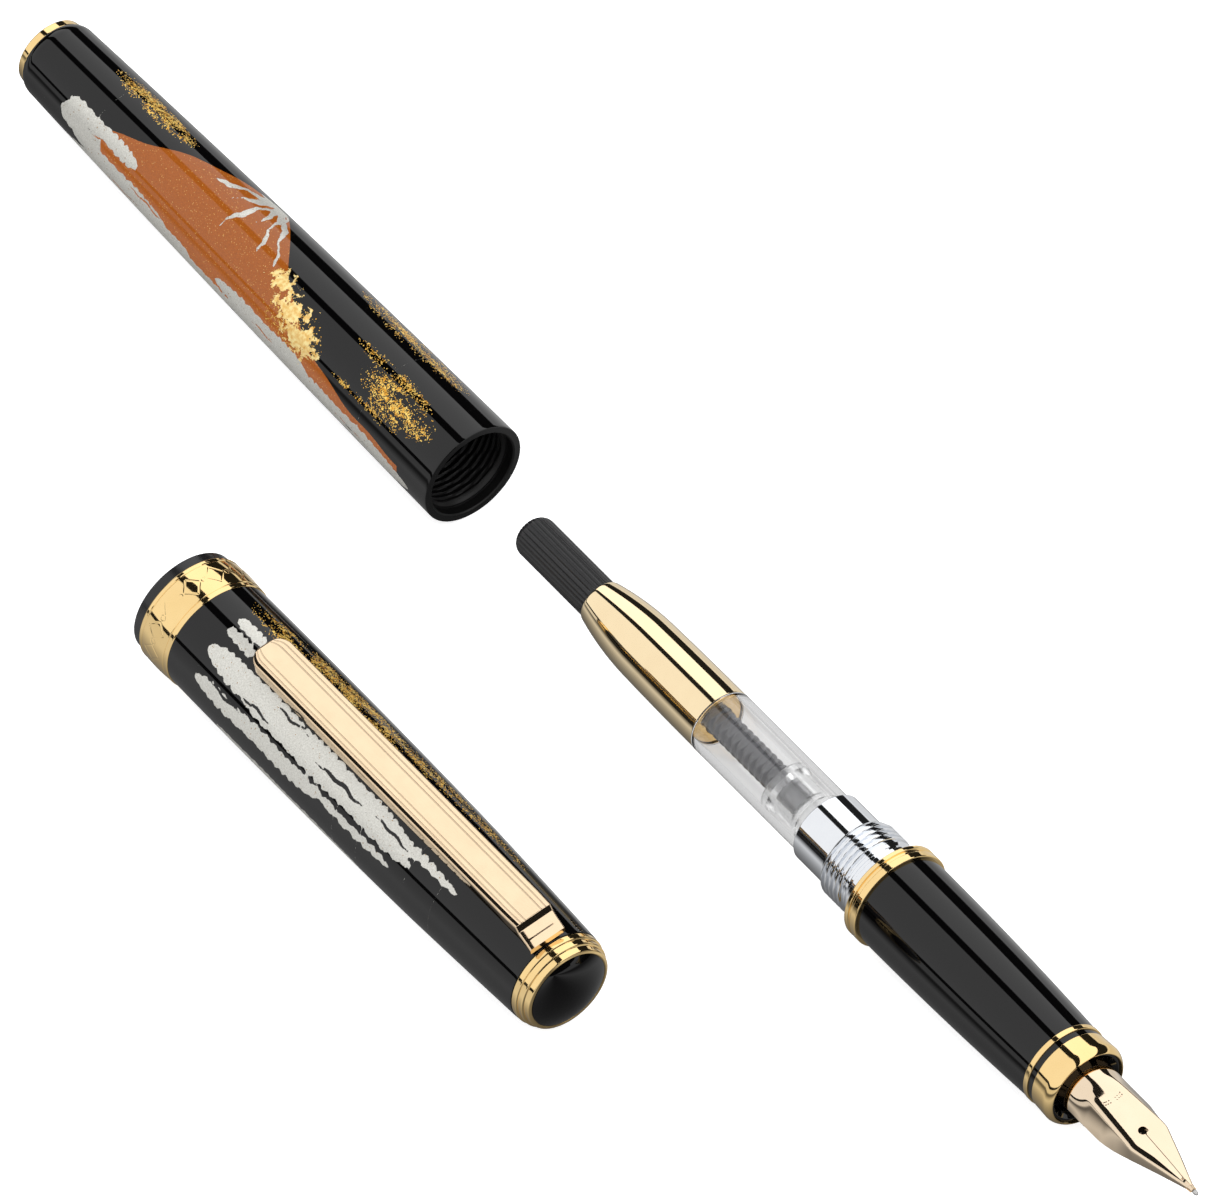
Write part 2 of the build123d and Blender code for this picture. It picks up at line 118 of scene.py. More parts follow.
def bow(start, mid, end, steps):
    """Points on the circle through three places, from the first to the last."""
    (ax, ay), (bx, by), (cx, cy) = start, mid, end
    d = 2 * (ax * (by - cy) + bx * (cy - ay) + cx * (ay - by))
    ux = ((ax**2 + ay**2) * (by - cy) + (bx**2 + by**2) * (cy - ay) + (cx**2 + cy**2) * (ay - by)) / d
    uy = ((ax**2 + ay**2) * (cx - bx) + (bx**2 + by**2) * (ax - cx) + (cx**2 + cy**2) * (bx - ax)) / d
    first, last = math.atan2(ay - uy, ax - ux), math.atan2(cy - uy, cx - ux)
    sweep = (last - first + math.pi) % (2 * math.pi) - math.pi
    angles = first + sweep * np.linspace(0, 1, steps + 1)
    radius = math.hypot(ax - ux, ay - uy)
    return [(ux + radius * math.cos(a), uy + radius * math.sin(a)) for a in angles]


def outline(corners, closed=False, arc_steps=5, hold=0.03):
    """Line through corners (along, radius) or (along, radius, fillet).

    A fillet turns its corner into an arc that is tangent to both sides. A short straight
    hold before and after it keeps the flats beside it flat when they are shaded.
    """
    count, line = len(corners), []
    for i, corner in enumerate(corners):
        here = np.array(corner[:2], float)
        at_end = not closed and i in (0, count - 1)
        if len(corner) == 2 or at_end:
            line.append(here)
            continue
        before = np.array(corners[i - 1][:2], float) - here
        after = np.array(corners[(i + 1) % count][:2], float) - here
        reach_before, reach_after = np.linalg.norm(before), np.linalg.norm(after)
        before, after = before / reach_before, after / reach_after
        half = math.acos(np.clip(before @ after, -1, 1)) / 2
        cut = min(corner[2] / math.tan(half), 0.42 * reach_before, 0.42 * reach_after)
        radius = cut * math.tan(half)
        inward = (before + after) / np.linalg.norm(before + after)
        centre = here + inward * radius / math.sin(half)
        first, last = here + before * cut, here + after * cut
        line.append(first + before * min(hold, 0.1 * reach_before))
        a0 = math.atan2(*(first - centre)[::-1])
        sweep = (math.atan2(*(last - centre)[::-1]) - a0 + math.pi) % (2 * math.pi) - math.pi
        for t in np.linspace(0, 1, arc_steps + 1):
            angle = a0 + sweep * t
            line.append(centre + radius * np.array([math.cos(angle), math.sin(angle)]))
        line.append(last + after * min(hold, 0.1 * reach_after))
    return np.array(line)


def woven(name, points, round_rows=False, round_cols=True, fields=None, sharp=32.0):
    """Mesh from a grid of points, whose neighbours become four-sided faces.

    A row whose points all lie in one place becomes a pole of three-sided faces. Faces are
    turned so that the enclosed volume is positive. Fields are grids of numbers kept as
    point attributes.
    """
    rows, cols = points.shape[:2]
    number = np.arange(rows * cols).reshape(rows, cols)
    pole = np.ptp(points, axis=1).max(axis=1) < 1e-9
    number[pole] = number[pole][:, :1]
    r = np.arange(rows if round_rows else rows - 1)
    c = np.arange(cols if round_cols else cols - 1)
    r2, c2 = (r + 1) % rows, (c + 1) % cols
    quads = np.stack(
        [number[np.ix_(r, c)], number[np.ix_(r, c2)], number[np.ix_(r2, c2)], number[np.ix_(r2, c)]], -1
    ).reshape(-1, 4)
    pole_first, pole_last = quads[:, 0] == quads[:, 1], quads[:, 2] == quads[:, 3]
    threes = np.concatenate([quads[pole_first][:, [0, 2, 3]], quads[pole_last][:, :3]])
    fours = quads[~(pole_first | pole_last)]
    used, back = np.unique(np.concatenate([fours.ravel(), threes.ravel()]), return_inverse=True)
    fours, threes = back[: fours.size].reshape(-1, 4), back[fours.size:].reshape(-1, 3)
    flat = points.reshape(-1, 3)[used]
    corner = flat[fours]
    volume = np.einsum("ij,ij->", corner[:, 0], np.cross(corner[:, 1], corner[:, 2]))
    volume += np.einsum("ij,ij->", corner[:, 0], np.cross(corner[:, 2], corner[:, 3]))
    if len(threes):
        corner = flat[threes]
        volume += np.einsum("ij,ij->", corner[:, 0], np.cross(corner[:, 1], corner[:, 2]))
    if volume < 0:
        fours, threes = fours[:, ::-1], threes[:, ::-1]
    mesh = bpy.data.meshes.new(name)
    mesh.from_pydata(flat.tolist(), [], fours.tolist() + threes.tolist())
    for label, field in (fields or {}).items():
        kept = mesh.attributes.new(label, "FLOAT", "POINT")
        kept.data.foreach_set("value", field.reshape(-1)[used].astype(np.float32))
    mesh.polygons.foreach_set("use_smooth", np.ones(len(mesh.polygons), bool))
    mesh.set_sharp_from_angle(angle=math.radians(sharp))
    mesh.update()
    return mesh


def fitted(name, mesh, finish, body):
    """Puts a finished mesh on its body, in place of the CAD node of the same name."""
    piece = bpy.data.objects.new(name, mesh)
    bpy.context.scene.collection.objects.link(piece)
    mesh.materials.append(finish)
    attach(piece, body)
    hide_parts(name)


def turned(name, seat, line, finish, body, around=144, hollow=False, bent=None, fields=None,
           sharp=32.0):
    """A line of (along, radius) carried round the seat's axis; turn 0 is up, and a quarter turn is -side.

    bent(along, radius, turn) may give the radius another value at each point of the grid, and
    fields(along, radius, turn) gives the numbers that the mesh keeps. A hollow line is a closed one.
    """
    along, radius = line[:, :1], line[:, 1:2]
    turn = np.linspace(0, 2 * math.pi, around, endpoint=False)[None, :]
    if bent is not None:
        radius = bent(along, radius, turn)
    radius = np.broadcast_to(radius, (len(line), around))
    points = laid(seat, along, -radius * np.sin(turn), radius * np.cos(turn))
    grids = fields(along, radius, turn) if fields else None
    fitted(name, woven(name, points, hollow, True, grids, sharp), finish, body)


def thread(along, turn, start, end, pitch, depth):
    """Height of a one-start helical thread: a trapezium wave of along / pitch - turn, faded in and out."""
    wave = np.abs(2 * ((along - start) / pitch - turn / (2 * math.pi)) % 2 - 1)
    rise = np.clip((0.72 - wave) / 0.46, 0, 1)
    fade = step(start, start + pitch, along) * step(-end, pitch - end, -along)
    return depth * rise * rise * (3 - 2 * rise) * fade


# ------------------------------------------------------------------ finishes

def finish_tree(name):
    """A new material with its node tree and its shader."""
    material = bpy.data.materials.new(name)
    material.use_nodes = True
    tree = material.node_tree
    return material, tree, tree.nodes["Principled BSDF"]


def node(tree, kind, settings=(), **sockets):
    """Adds a node; sockets are given by name, as a value or as another node's output."""
    made = tree.nodes.new(kind)
    for key, value in dict(settings).items():
        setattr(made, key, value)
    for name, value in sockets.items():
        socket = made.inputs[name.replace("_", " ")]
        if isinstance(value, bpy.types.NodeSocket):
            tree.links.new(value, socket)
        else:
            socket.default_value = value
    return made


def maths(tree, operation, *values, clamp=False):
    """Output of a Math node."""
    made = tree.nodes.new("ShaderNodeMath")
    made.operation, made.use_clamp = operation, clamp
    for socket, value in zip(made.inputs, values):
        if isinstance(value, bpy.types.NodeSocket):
            tree.links.new(value, socket)
        else:
            socket.default_value = value
    return made.outputs[0]


def placed(tree, scale=(1, 1, 1)):
    """Object coordinates stretched by scale."""
    where = node(tree, "ShaderNodeTexCoord")
    return node(tree, "ShaderNodeMapping", Vector=where.outputs["Object"], Scale=scale).outputs["Vector"]


def grain(tree, scale, detail=2.0, rough=0.5, stretch=(1, 1, 1)):
    """Noise of a grain size of 1 / scale metres."""
    return node(
        tree, "ShaderNodeTexNoise", Vector=placed(tree, stretch), Scale=scale, Detail=detail, Roughness=rough
    ).outputs["Fac"]


def ranged(tree, value, low, high, to_low, to_high, smooth=False):
    """Value carried from the range low to high onto the range to_low to to_high."""
    kind = {"interpolation_type": "SMOOTHSTEP" if smooth else "LINEAR"}
    made = node(tree, "ShaderNodeMapRange", kind, Value=value, From_Min=low, From_Max=high)
    made.inputs["To Min"].default_value = to_low
    made.inputs["To Max"].default_value = to_high
    return made.outputs["Result"]


def mixed(tree, share, first, second):
    """Colour between first and second."""
    made = tree.nodes.new("ShaderNodeMix")
    made.data_type = "RGBA"
    for socket, value in zip((made.inputs[0], made.inputs[6], made.inputs[7]), (share, first, second)):
        if isinstance(value, bpy.types.NodeSocket):
            tree.links.new(value, socket)
        else:
            socket.default_value = value
    return made.outputs[2]


def bumped(tree, shader, height, distance, strength=1.0):
    """Joins a height, in units of distance metres, to the shader's normal."""
    made = node(tree, "ShaderNodeBump", Height=height, Distance=distance, Strength=strength)
    tree.links.new(made.outputs["Normal"], shader.inputs["Normal"])


def plated(name, colour, tint, roughness=0.07, turning=True, marks=0.0000008):
    """Polished plate: faint polishing marks round the axis, and slow changes of tint and gloss."""
    material, tree, shader = finish_tree(name)
    stretch = (1, 0.04, 0.04) if turning else (0.05, 1, 1)
    lines = grain(tree, 14000, 3.0, 0.6, stretch)
    clouds = grain(tree, 420, 2.0)
    tree.links.new(mixed(tree, ranged(tree, clouds, 0.35, 0.65, 0, 1), (*colour, 1), (*tint, 1)),
                   shader.inputs["Base Color"])
    gloss = maths(tree, "MULTIPLY", ranged(tree, lines, 0.3, 0.7, 0.75, 1.3),
                  ranged(tree, clouds, 0.3, 0.7, roughness * 0.8, roughness * 1.25))
    tree.links.new(gloss, shader.inputs["Roughness"])
    shader.inputs["Metallic"].default_value = 1.0
    bumped(tree, shader, grain(tree, 700, 1.0), marks)
    return material


def lacquer(name, colour=(0.0010, 0.0009, 0.0010), roughness=0.03):
    """Deep polished lacquer: a very slow swell of the surface and hairline wiping marks in the gloss."""
    material, tree, shader = finish_tree(name)
    swell = grain(tree, 90, 1.0)
    hairs = grain(tree, 9000, 2.0, 0.5, (0.03, 1, 1))
    shader.inputs["Base Color"].default_value = (*colour, 1)
    shader.inputs["IOR"].default_value = 1.47
    tree.links.new(ranged(tree, hairs, 0.35, 0.75, roughness, roughness * 1.8), shader.inputs["Roughness"])
    bumped(tree, shader, swell, 0.000004)
    return material


def moulded(name, colour, roughness=0.38, specular=0.5):
    """Satin moulded plastic with a fine even grain."""
    material, tree, shader = finish_tree(name)
    fine, broad = grain(tree, 9000, 2.0), grain(tree, 700, 2.0)
    darker = tuple(0.7 * c for c in colour)
    tree.links.new(mixed(tree, broad, (*darker, 1), (*colour, 1)), shader.inputs["Base Color"])
    gloss = ranged(tree, fine, 0.3, 0.7, roughness * 0.85, roughness * 1.2)
    tree.links.new(gloss, shader.inputs["Roughness"])
    shader.inputs["Specular IOR Level"].default_value = specular
    bumped(tree, shader, fine, 0.000004)
    return material


def clear(name, tint, roughness=0.02, ior=1.49, haze=0.0, ripple=0.000006):
    """Clear or hazy moulded plastic with faint flow lines along the axis."""
    material, tree, shader = finish_tree(name)
    flow = grain(tree, 1800, 2.0, 0.5, (0.08, 1, 1))
    shader.inputs["Base Color"].default_value = (*tint, 1)
    tree.links.new(ranged(tree, flow, 0.3, 0.7, roughness, roughness * 2 + haze), shader.inputs["Roughness"])
    shader.inputs["IOR"].default_value = ior
    shader.inputs["Transmission Weight"].default_value = 1.0
    bumped(tree, shader, flow, ripple)
    path = node(tree, "ShaderNodeLightPath")
    passing = maths(tree, "MAXIMUM", path.outputs["Is Shadow Ray"], path.outputs["Is Diffuse Ray"])
    both = node(tree, "ShaderNodeMixShader", Fac=passing)
    through = node(tree, "ShaderNodeBsdfTransparent", Color=(*tint, 1))
    tree.links.new(shader.outputs[0], both.inputs[1])
    tree.links.new(through.outputs[0], both.inputs[2])
    tree.links.new(both.outputs[0], tree.nodes["Material Output"].inputs["Surface"])
    return material


def attribute(tree, name):
    """Number that the mesh carries under this name."""
    return node(tree, "ShaderNodeAttribute", {"attribute_name": name}).outputs["Fac"]


def specks(tree, size, density, fill=0.42):
    """1 inside scattered specks of about size millimetres; density is the share of places that hold one."""
    cells = node(tree, "ShaderNodeTexVoronoi", Vector=placed(tree), Scale=1 / (size * MM))
    pick = node(tree, "ShaderNodeSeparateColor", Color=cells.outputs["Color"])
    held = maths(tree, "LESS_THAN", pick.outputs["Red"], density)
    reach = maths(tree, "MULTIPLY_ADD", pick.outputs["Green"], 0.3, fill - 0.15)
    return maths(tree, "MULTIPLY", held, maths(tree, "LESS_THAN", cells.outputs["Distance"], reach))


def pictured(name):
    """Black lacquer with a picture in powdered metals, laid out by the fields that the mesh carries.

    cloud, hill, snow and leaf are signed distances in millimetres, positive inside; dust is a density.
    Fine noise frays each edge before it is cut, and the powders are coarser and duller than the lacquer.
    """
    material, tree, shader = finish_tree(name)
    fray = maths(tree, "MULTIPLY", maths(tree, "SUBTRACT", grain(tree, 3200, 3.0, 0.6), 0.5), 0.22)
    tear = maths(tree, "MULTIPLY", maths(tree, "SUBTRACT", grain(tree, 1150, 4.0, 0.6), 0.505), 6.0)

    def cut(field, ragged):
        return ranged(tree, maths(tree, "ADD", attribute(tree, field), ragged), -0.015, 0.015, 0, 1)

    cloud, snow, leaf = cut("cloud", fray), cut("snow", fray), cut("leaf", tear)
    hill = cut("hill", maths(tree, "MULTIPLY", fray, 0.4))
    powder = grain(tree, 7000, 2.0, 0.7)
    streaks = grain(tree, 900, 2.0, 0.6, (0.35, 1, 1))
    gate = maths(tree, "MULTIPLY", attribute(tree, "dust"), ranged(tree, streaks, 0.34, 0.63, 0.07, 1.65))
    dust = maths(tree, "MAXIMUM", specks(tree, 0.14, gate, 0.5),
                 specks(tree, 0.27, maths(tree, "SUBTRACT", gate, 0.35), 0.52))
    silver = maths(tree, "MAXIMUM", cloud, snow)
    black = (0.0010, 0.0009, 0.0010, 1)
    earth_share = ranged(tree, powder, 0.3, 0.7, 0, 1)
    earth = mixed(tree, earth_share, (0.255, 0.066, 0.0075, 1), (0.355, 0.095, 0.012, 1))
    earth = mixed(tree, specks(tree, 0.12, 0.09, 0.4), earth, (0.52, 0.26, 0.07, 1))
    colour = mixed(tree, hill, black, earth)
    grey_share = ranged(tree, powder, 0.25, 0.75, 0, 1)
    grey = mixed(tree, grey_share, (0.52, 0.51, 0.46, 1), (0.84, 0.83, 0.78, 1))
    grey = mixed(tree, specks(tree, 0.16, 0.03, 0.4), grey, (0.40, 0.27, 0.15, 1))
    crumple = ranged(tree, grain(tree, 2400, 2.0), 0.35, 0.65, 0, 1)
    dust_gold = mixed(tree, crumple, (0.72, 0.34, 0.03, 1), (1.0, 0.70, 0.18, 1))
    leaf_gold = mixed(tree, crumple, (0.82, 0.50, 0.14, 1), (1.0, 0.82, 0.38, 1))
    gold = mixed(tree, leaf, dust_gold, leaf_gold)
    shine = maths(tree, "MAXIMUM", dust, leaf)
    colour = mixed(tree, silver, colour, grey)
    colour = mixed(tree, shine, colour, gold)
    tree.links.new(colour, shader.inputs["Base Color"])
    silver_metal, gold_metal = maths(tree, "MULTIPLY", silver, 0.72), maths(tree, "MULTIPLY", shine, 0.6)
    tree.links.new(maths(tree, "MAXIMUM", silver_metal, gold_metal), shader.inputs["Metallic"])
    rough = maths(tree, "MULTIPLY_ADD", maths(tree, "MAXIMUM", silver, shine), 0.36, 0.035)
    rough = maths(tree, "MULTIPLY_ADD", hill, 0.04, rough)
    rough = maths(tree, "MAXIMUM", rough, maths(tree, "MULTIPLY", attribute(tree, "socket"), 0.45))
    tree.links.new(rough, shader.inputs["Roughness"])
    shader.inputs["IOR"].default_value = 1.47
    relief = maths(tree, "MULTIPLY", maths(tree, "MAXIMUM", silver, shine),
                   maths(tree, "MULTIPLY_ADD", powder, 0.35, 0.65))
    bumped(tree, shader, relief, 0.00003)
    return material


# The gold differs between the pieces: the sleeve and the clip are paler than the nose and the bands.
black_lacquer = lacquer("black_lacquer")
picture_lacquer = pictured("picture_lacquer")
knob_black = moulded("knob_black", (0.010, 0.010, 0.011), 0.30)
liner_black = moulded("liner_black", (0.007, 0.007, 0.008), 0.22)
feed_black = moulded("feed_black", (0.012, 0.012, 0.013), 0.45)
rod_grey = moulded("rod_grey", (0.030, 0.030, 0.035), 0.26)
gold_plate = plated("gold_plate", (0.96, 0.70, 0.33), (0.94, 0.675, 0.31), 0.055)
pale_gold = plated("pale_gold", (0.96, 0.78, 0.50), (0.94, 0.755, 0.48), 0.05)
clip_gold = plated("clip_gold", (0.82, 0.63, 0.425), (0.80, 0.612, 0.41), 0.06, turning=False)
bush_gold = plated("bush_gold", (0.80, 0.56, 0.26), (0.70, 0.47, 0.20), 0.16)
bare_brass = plated("bare_brass", (0.74, 0.55, 0.25), (0.66, 0.48, 0.21), 0.2, marks=0.000002)
chrome_plate = plated("chrome_plate", (0.84, 0.86, 0.89), (0.81, 0.83, 0.865), 0.05)
nib_gold = plated("nib_gold", (0.86, 0.70, 0.515), (0.84, 0.68, 0.495), 0.05, turning=False)
tip_metal = plated("tip_metal", (0.72, 0.70, 0.68), (0.60, 0.59, 0.58), 0.22)
clear_plastic = clear("clear_plastic", (0.985, 0.985, 0.985), 0.003, ripple=0.0000012)
frosted_plastic = clear("frosted_plastic", (0.94, 0.95, 0.95), 0.22, haze=0.15)
seal_plastic = clear("seal_plastic", (0.95, 0.955, 0.955), 0.06, haze=0.06)


# ------------------------------------------------------------------ the picture on the lacquer

FACE_TURN = math.radians(28.0)    # the middle of the picture faces this way
HIDDEN = -5.0                     # value of a field where its picture has nothing


def unrolled(radius, turn):
    """Distance round the surface from the middle of the picture, in millimetres."""
    return radius * ((turn - FACE_TURN + math.pi) % (2 * math.pi) - math.pi)


def lumps(along, size, phase):
    """Billows: half waves of two sizes that meet in sharp dips."""
    big = np.abs(np.sin(math.pi * along / size + 1.5 * np.sin(along / (1.6 * size) + phase) + phase))
    small = np.abs(np.sin(math.pi * along / (0.41 * size) + 2.1 * phase))
    return (0.75 * big + 0.25 * small) * (1 + 0.35 * np.sin(along / (1.1 * size) + 2.7 * phase))


def bank(along, arc, start, end, arc_start, arc_end, half, size=1.15, billow=0.34):
    """Signed distance into one cloud bank, a long band with billowing edges and round ends."""
    t = (along - start) / (end - start)
    line = arc_start + (arc_end - arc_start) * np.clip(t, 0, 1)
    taper = np.sqrt(np.clip(1 - np.abs(2 * np.clip(t, 0, 1) - 1) ** 6, 0, 1))
    phase = start * 1.7 + half
    edge = np.where(arc < line, lumps(along, size, phase), lumps(along, 1.15 * size, phase + 2.0))
    inside = (half + billow * (edge - 0.5)) * taper - np.abs(arc - line)
    beyond = np.maximum(np.maximum(start - along, along - end), 0)
    return np.where(beyond > 0, -beyond, inside)


def sliver(along, arc, start, end, middle_arc, half):
    """Signed distance into one thin lens-shaped gap."""
    t = (along - start) / (end - start)
    wave = 0.12 * np.sin(along * 2.2) + 0.10 * np.sin(along * 0.9)
    return half * np.clip(1 - (2 * t - 1) ** 2, -1, 1) - np.abs(arc - middle_arc - wave)


def drift(along, arc, centre, centre_arc, length, width):
    """Density of one drift of dust: 1 in its middle and 0 outside an ellipse."""
    d = ((along - centre) / length) ** 2 + ((arc - centre_arc) / width) ** 2
    return np.clip(1 - d, 0, 1) ** 0.7


def joined(*fields):
    """Union of signed distances or of densities."""
    return np.maximum.reduce(np.broadcast_arrays(*fields))


def barrel_picture(along, radius, turn):
    """A red-brown hill with snow in its gullies, silver cloud banks before it and gold dust round it."""
    arc = unrolled(radius, turn)
    peak, foot = -37.6, 6.0
    away = along - peak
    spread, power = np.where(away < 0, 19.4, 12.0), np.where(away < 0, 1.6, 1.3)
    ridge = foot - 13.2 * np.exp(-((np.abs(away) / spread) ** power))
    ridge = ridge + 0.15 * np.sin(along * 0.8) * step(2, 9, np.abs(away))
    ridge = np.minimum(ridge, foot - 3.6 * np.exp(-(((along + 56.0) / 5.5) ** 2)))
    ridge = np.maximum(ridge, -7.1)
    hill = np.where((arc < 7.4) & (along > -60.0) & (along < -5.0), arc - ridge, HIDDEN)
    snow = np.full(np.shape(hill), HIDDEN)
    gullies = ((-164, 10.5, 0.34), (-146, 8.6, 0.56), (-128, 6.4, 0.50), (-106, 8.4, 0.46),
               (-84, 5.0, 0.34), (-64, 8.0, 0.38), (-48, 9.6, 0.36))
    for heading, reach, width in gullies:
        down, across = arc + 7.6, along - peak
        c, s = math.cos(math.radians(heading)), -math.sin(math.radians(heading))
        far, off = across * c + down * s, across * s - down * c
        off = off + 0.16 * np.sin(far * 1.9 + heading) + 0.05 * np.sin(far * 5.3)
        uneven = 0.75 + 0.35 * np.sin(far * 1.3 + heading)
        half = width * np.sqrt(np.clip(1 - (far / reach) ** 2, 0, 1)) * uneven
        snow = np.maximum(snow, np.where((far > -0.2) & (far < reach), half - np.abs(off), -0.5))
    cap_snow = 0.75 - np.hypot(0.55 * away, arc + 7.3)
    snow = np.minimum(np.maximum(snow, cap_snow), hill + 0.12)
    cloud = joined(
        bank(along, arc, -64.4, -52.4, 1.9, 2.2, 0.74),
        bank(along, arc, -65.0, -58.0, 3.3, 3.8, 1.30),
        bank(along, arc, -62.5, -46.0, 4.9, 5.3, 0.95),
        bank(along, arc, -60.0, -41.5, 5.7, 6.0, 0.80),
        bank(along, arc, -64.0, -34.0, 7.1, 7.3, 1.2),
        bank(along, arc, -37.0, -21.0, 5.3, 5.6, 0.80),
        bank(along, arc, -36.0, -3.2, 7.0, 7.6, 1.15),
        bank(along, arc, -24.0, -7.0, 6.1, 6.6, 0.50),
        bank(along, arc, -52.0, -24.0, 9.6, 9.9, 0.8),
        bank(along, arc, -44.0, -12.0, 13.0, 13.4, 0.6),
    )
    gaps = joined(
        sliver(along, arc, -53.0, -45.5, 4.75, 0.13),
        sliver(along, arc, -31.0, -26.0, 6.1, 0.12),
        sliver(along, arc, -60.5, -56.5, 3.0, 0.10),
        sliver(along, arc, -58.0, -50.0, 6.5, 0.11),
        sliver(along, arc, -18.0, -9.0, 7.3, 0.10),
    )
    cloud = np.minimum(cloud, -gaps)
    leaf = joined(
        1.25 - np.hypot((along + 29.0) / 1.5, arc + 0.1),
        1.55 - np.hypot((along + 26.0) / 1.6, (arc - 1.2) / 1.05),
        1.5 - np.hypot((along + 23.2) / 1.7, (arc - 3.0) / 1.1),
    ) - 0.25
    dust = joined(
        drift(along, arc, -56.5, -4.1, 7.2, 1.5),
        0.8 * drift(along, arc, -14.5, -6.6, 9.5, 1.7),
        0.75 * drift(along, arc, -8.6, 0.4, 6.2, 2.3),
        0.7 * drift(along, arc, -11.5, -1.6, 6.5, 0.8),
        0.6 * drift(along, arc, -12.0, 2.9, 6.0, 0.5),
        0.35 * drift(along, arc, -25.0, 2.4, 5.0, 2.6),
        0.8 * drift(along, arc, -33.0, -13.4, 16.0, 1.6),
    )
    return {"hill": hill, "snow": snow, "cloud": cloud, "leaf": leaf, "dust": dust}


def cap_picture(along, radius, turn):
    """Silver cloud banks that run out towards the crown, with gold dust behind the clip."""
    arc = unrolled(radius, turn)
    cloud = joined(
        bank(along, arc, 10.0, 45.0, 1.3, 1.6, 1.45, 1.3, 0.40),
        bank(along, arc, 30.0, 52.0, 1.2, 1.2, 0.42, 1.6, 0.45),
        bank(along, arc, 17.0, 45.5, 2.5, 2.7, 0.72, 1.4, 0.40),
        bank(along, arc, 10.3, 31.0, 4.8, 4.8, 0.92, 1.3, 0.42),
        bank(along, arc, 24.0, 43.0, 4.35, 4.6, 0.40, 1.7, 0.40),
        bank(along, arc, 10.2, 14.6, -1.4, -1.3, 0.52),
        bank(along, arc, 10.0, 14.4, -3.0, -2.9, 0.62),
        bank(along, arc, 14.0, 38.0, 9.0, 9.4, 0.6),
        bank(along, arc, 20.0, 50.0, 14.5, 14.0, 0.8),
        bank(along, arc, 12.0, 34.0, 17.0, 17.0, 0.9),
    )
    gaps = joined(
        sliver(along, arc, 20.5, 26.5, 0.55, 0.16),
        sliver(along, arc, 28.5, 37.5, 1.75, 0.24),
        sliver(along, arc, 16.5, 22.0, 2.55, 0.18),
        sliver(along, arc, 12.5, 18.0, 4.1, 0.20),
        sliver(along, arc, 38.0, 45.0, 1.5, 0.18),
    )
    cloud = np.minimum(cloud, -gaps)
    dust = joined(
        drift(along, arc, 15.0, -5.6, 6.5, 1.5),
        0.85 * drift(along, arc, 27.0, -6.6, 14.0, 1.5),
        0.55 * drift(along, arc, 42.0, -7.2, 12.0, 1.2),
        0.7 * drift(along, arc, 24.0, -11.5, 12.0, 1.8),
    )
    nothing = np.full(np.shape(cloud), HIDDEN)
    return {"cloud": cloud, "dust": dust, "hill": nothing, "snow": nothing, "leaf": nothing}


# ------------------------------------------------------------------ barrel

def barrel_tube():
    """Lacquered barrel: a long gentle taper, a counterbored mouth and a helical socket thread, whose ridges
    are taken off the bore's radius."""
    thread_bore, thread_pitch, thread_depth = 5.12, 0.75, 0.24
    taper = bow((-0.1, 6.09), (-35.0, 5.52), (-70.9, 4.50), 286)
    shoulder = bow((-70.9, 4.50), (-71.7, 4.38), (BARREL_TUBE_REAR, 4.18), 6)[1:]
    skin = outline([(BARREL_TUBE_REAR, 1.6), (BARREL_TUBE_REAR, 4.17, 0.03), *reversed(shoulder[:-1]),
                    *reversed(taper), (-0.03, 6.075), (0, 6.0, 0.0), (0, 5.34, 0.1), (-0.14, 5.20),
                    (-1.15, 5.18, 0.02), (-1.17, 4.96, 0.05), (-1.45, 4.70)])
    x = spaced(-1.5, (-8.4, 0.055))
    screw = np.stack([x, np.full(len(x), thread_bore)], -1)
    bore = outline([(-8.6, 4.95), (-9.2, 4.70), (-40.0, 4.55), (-63.0, 3.75), (-66.5, 3.20, 0.2),
                    (-66.5, 1.6)])

    def bent(along, radius, turn):
        in_thread = (radius == thread_bore) & (along <= -1.5)
        socket = thread_bore - thread(along, turn, -8.6, -1.35, thread_pitch, thread_depth)
        return np.where(in_thread, socket, radius + 0 * turn)

    def fields(along, radius, turn):
        picture = barrel_picture(along, radius, turn)
        outer = radius > np.interp(-along, [0, 1.2, 40, 72], [5.8, 5.6, 4.9, 4.0])
        kept = {n: np.where(outer, f, 0 if n == "dust" else HIDDEN) for n, f in picture.items()}
        kept["socket"] = 1.0 * (radius < np.interp(-along, [0, 1.2, 40, 72], [5.4, 5.4, 4.8, 4.0]))
        return kept

    turned("barrel_tube", BARREL, np.vstack([skin, screw, bore]), picture_lacquer, "barrel",
           around=176, hollow=True, bent=bent, fields=fields)


def barrel_end():
    """Gold ring round the closed end, and the black plug inside it."""
    seat, inside = -72.5, 3.33
    ring = outline([(BARREL_TUBE_REAR, 1.60), (BARREL_TUBE_REAR, 4.18, 0.05), (-72.98, 4.04, 0.10),
                    (BARREL_REAR, 3.92, 0.05), (BARREL_REAR, inside, 0.04), (seat, inside), (seat, 1.60)],
                   closed=True)
    turned("barrel_end_ring", BARREL, ring, gold_plate, "barrel", hollow=True)
    plug_radius = inside - 0.03
    plug = outline([(BARREL_REAR, 0), (BARREL_REAR, plug_radius, 0.10), (seat, plug_radius), (seat, 1.50),
                    (-66.2, 1.50), (-66.2, 0)])
    turned("barrel_end_plug", BARREL, plug, black_lacquer, "barrel")


# ------------------------------------------------------------------ grip section

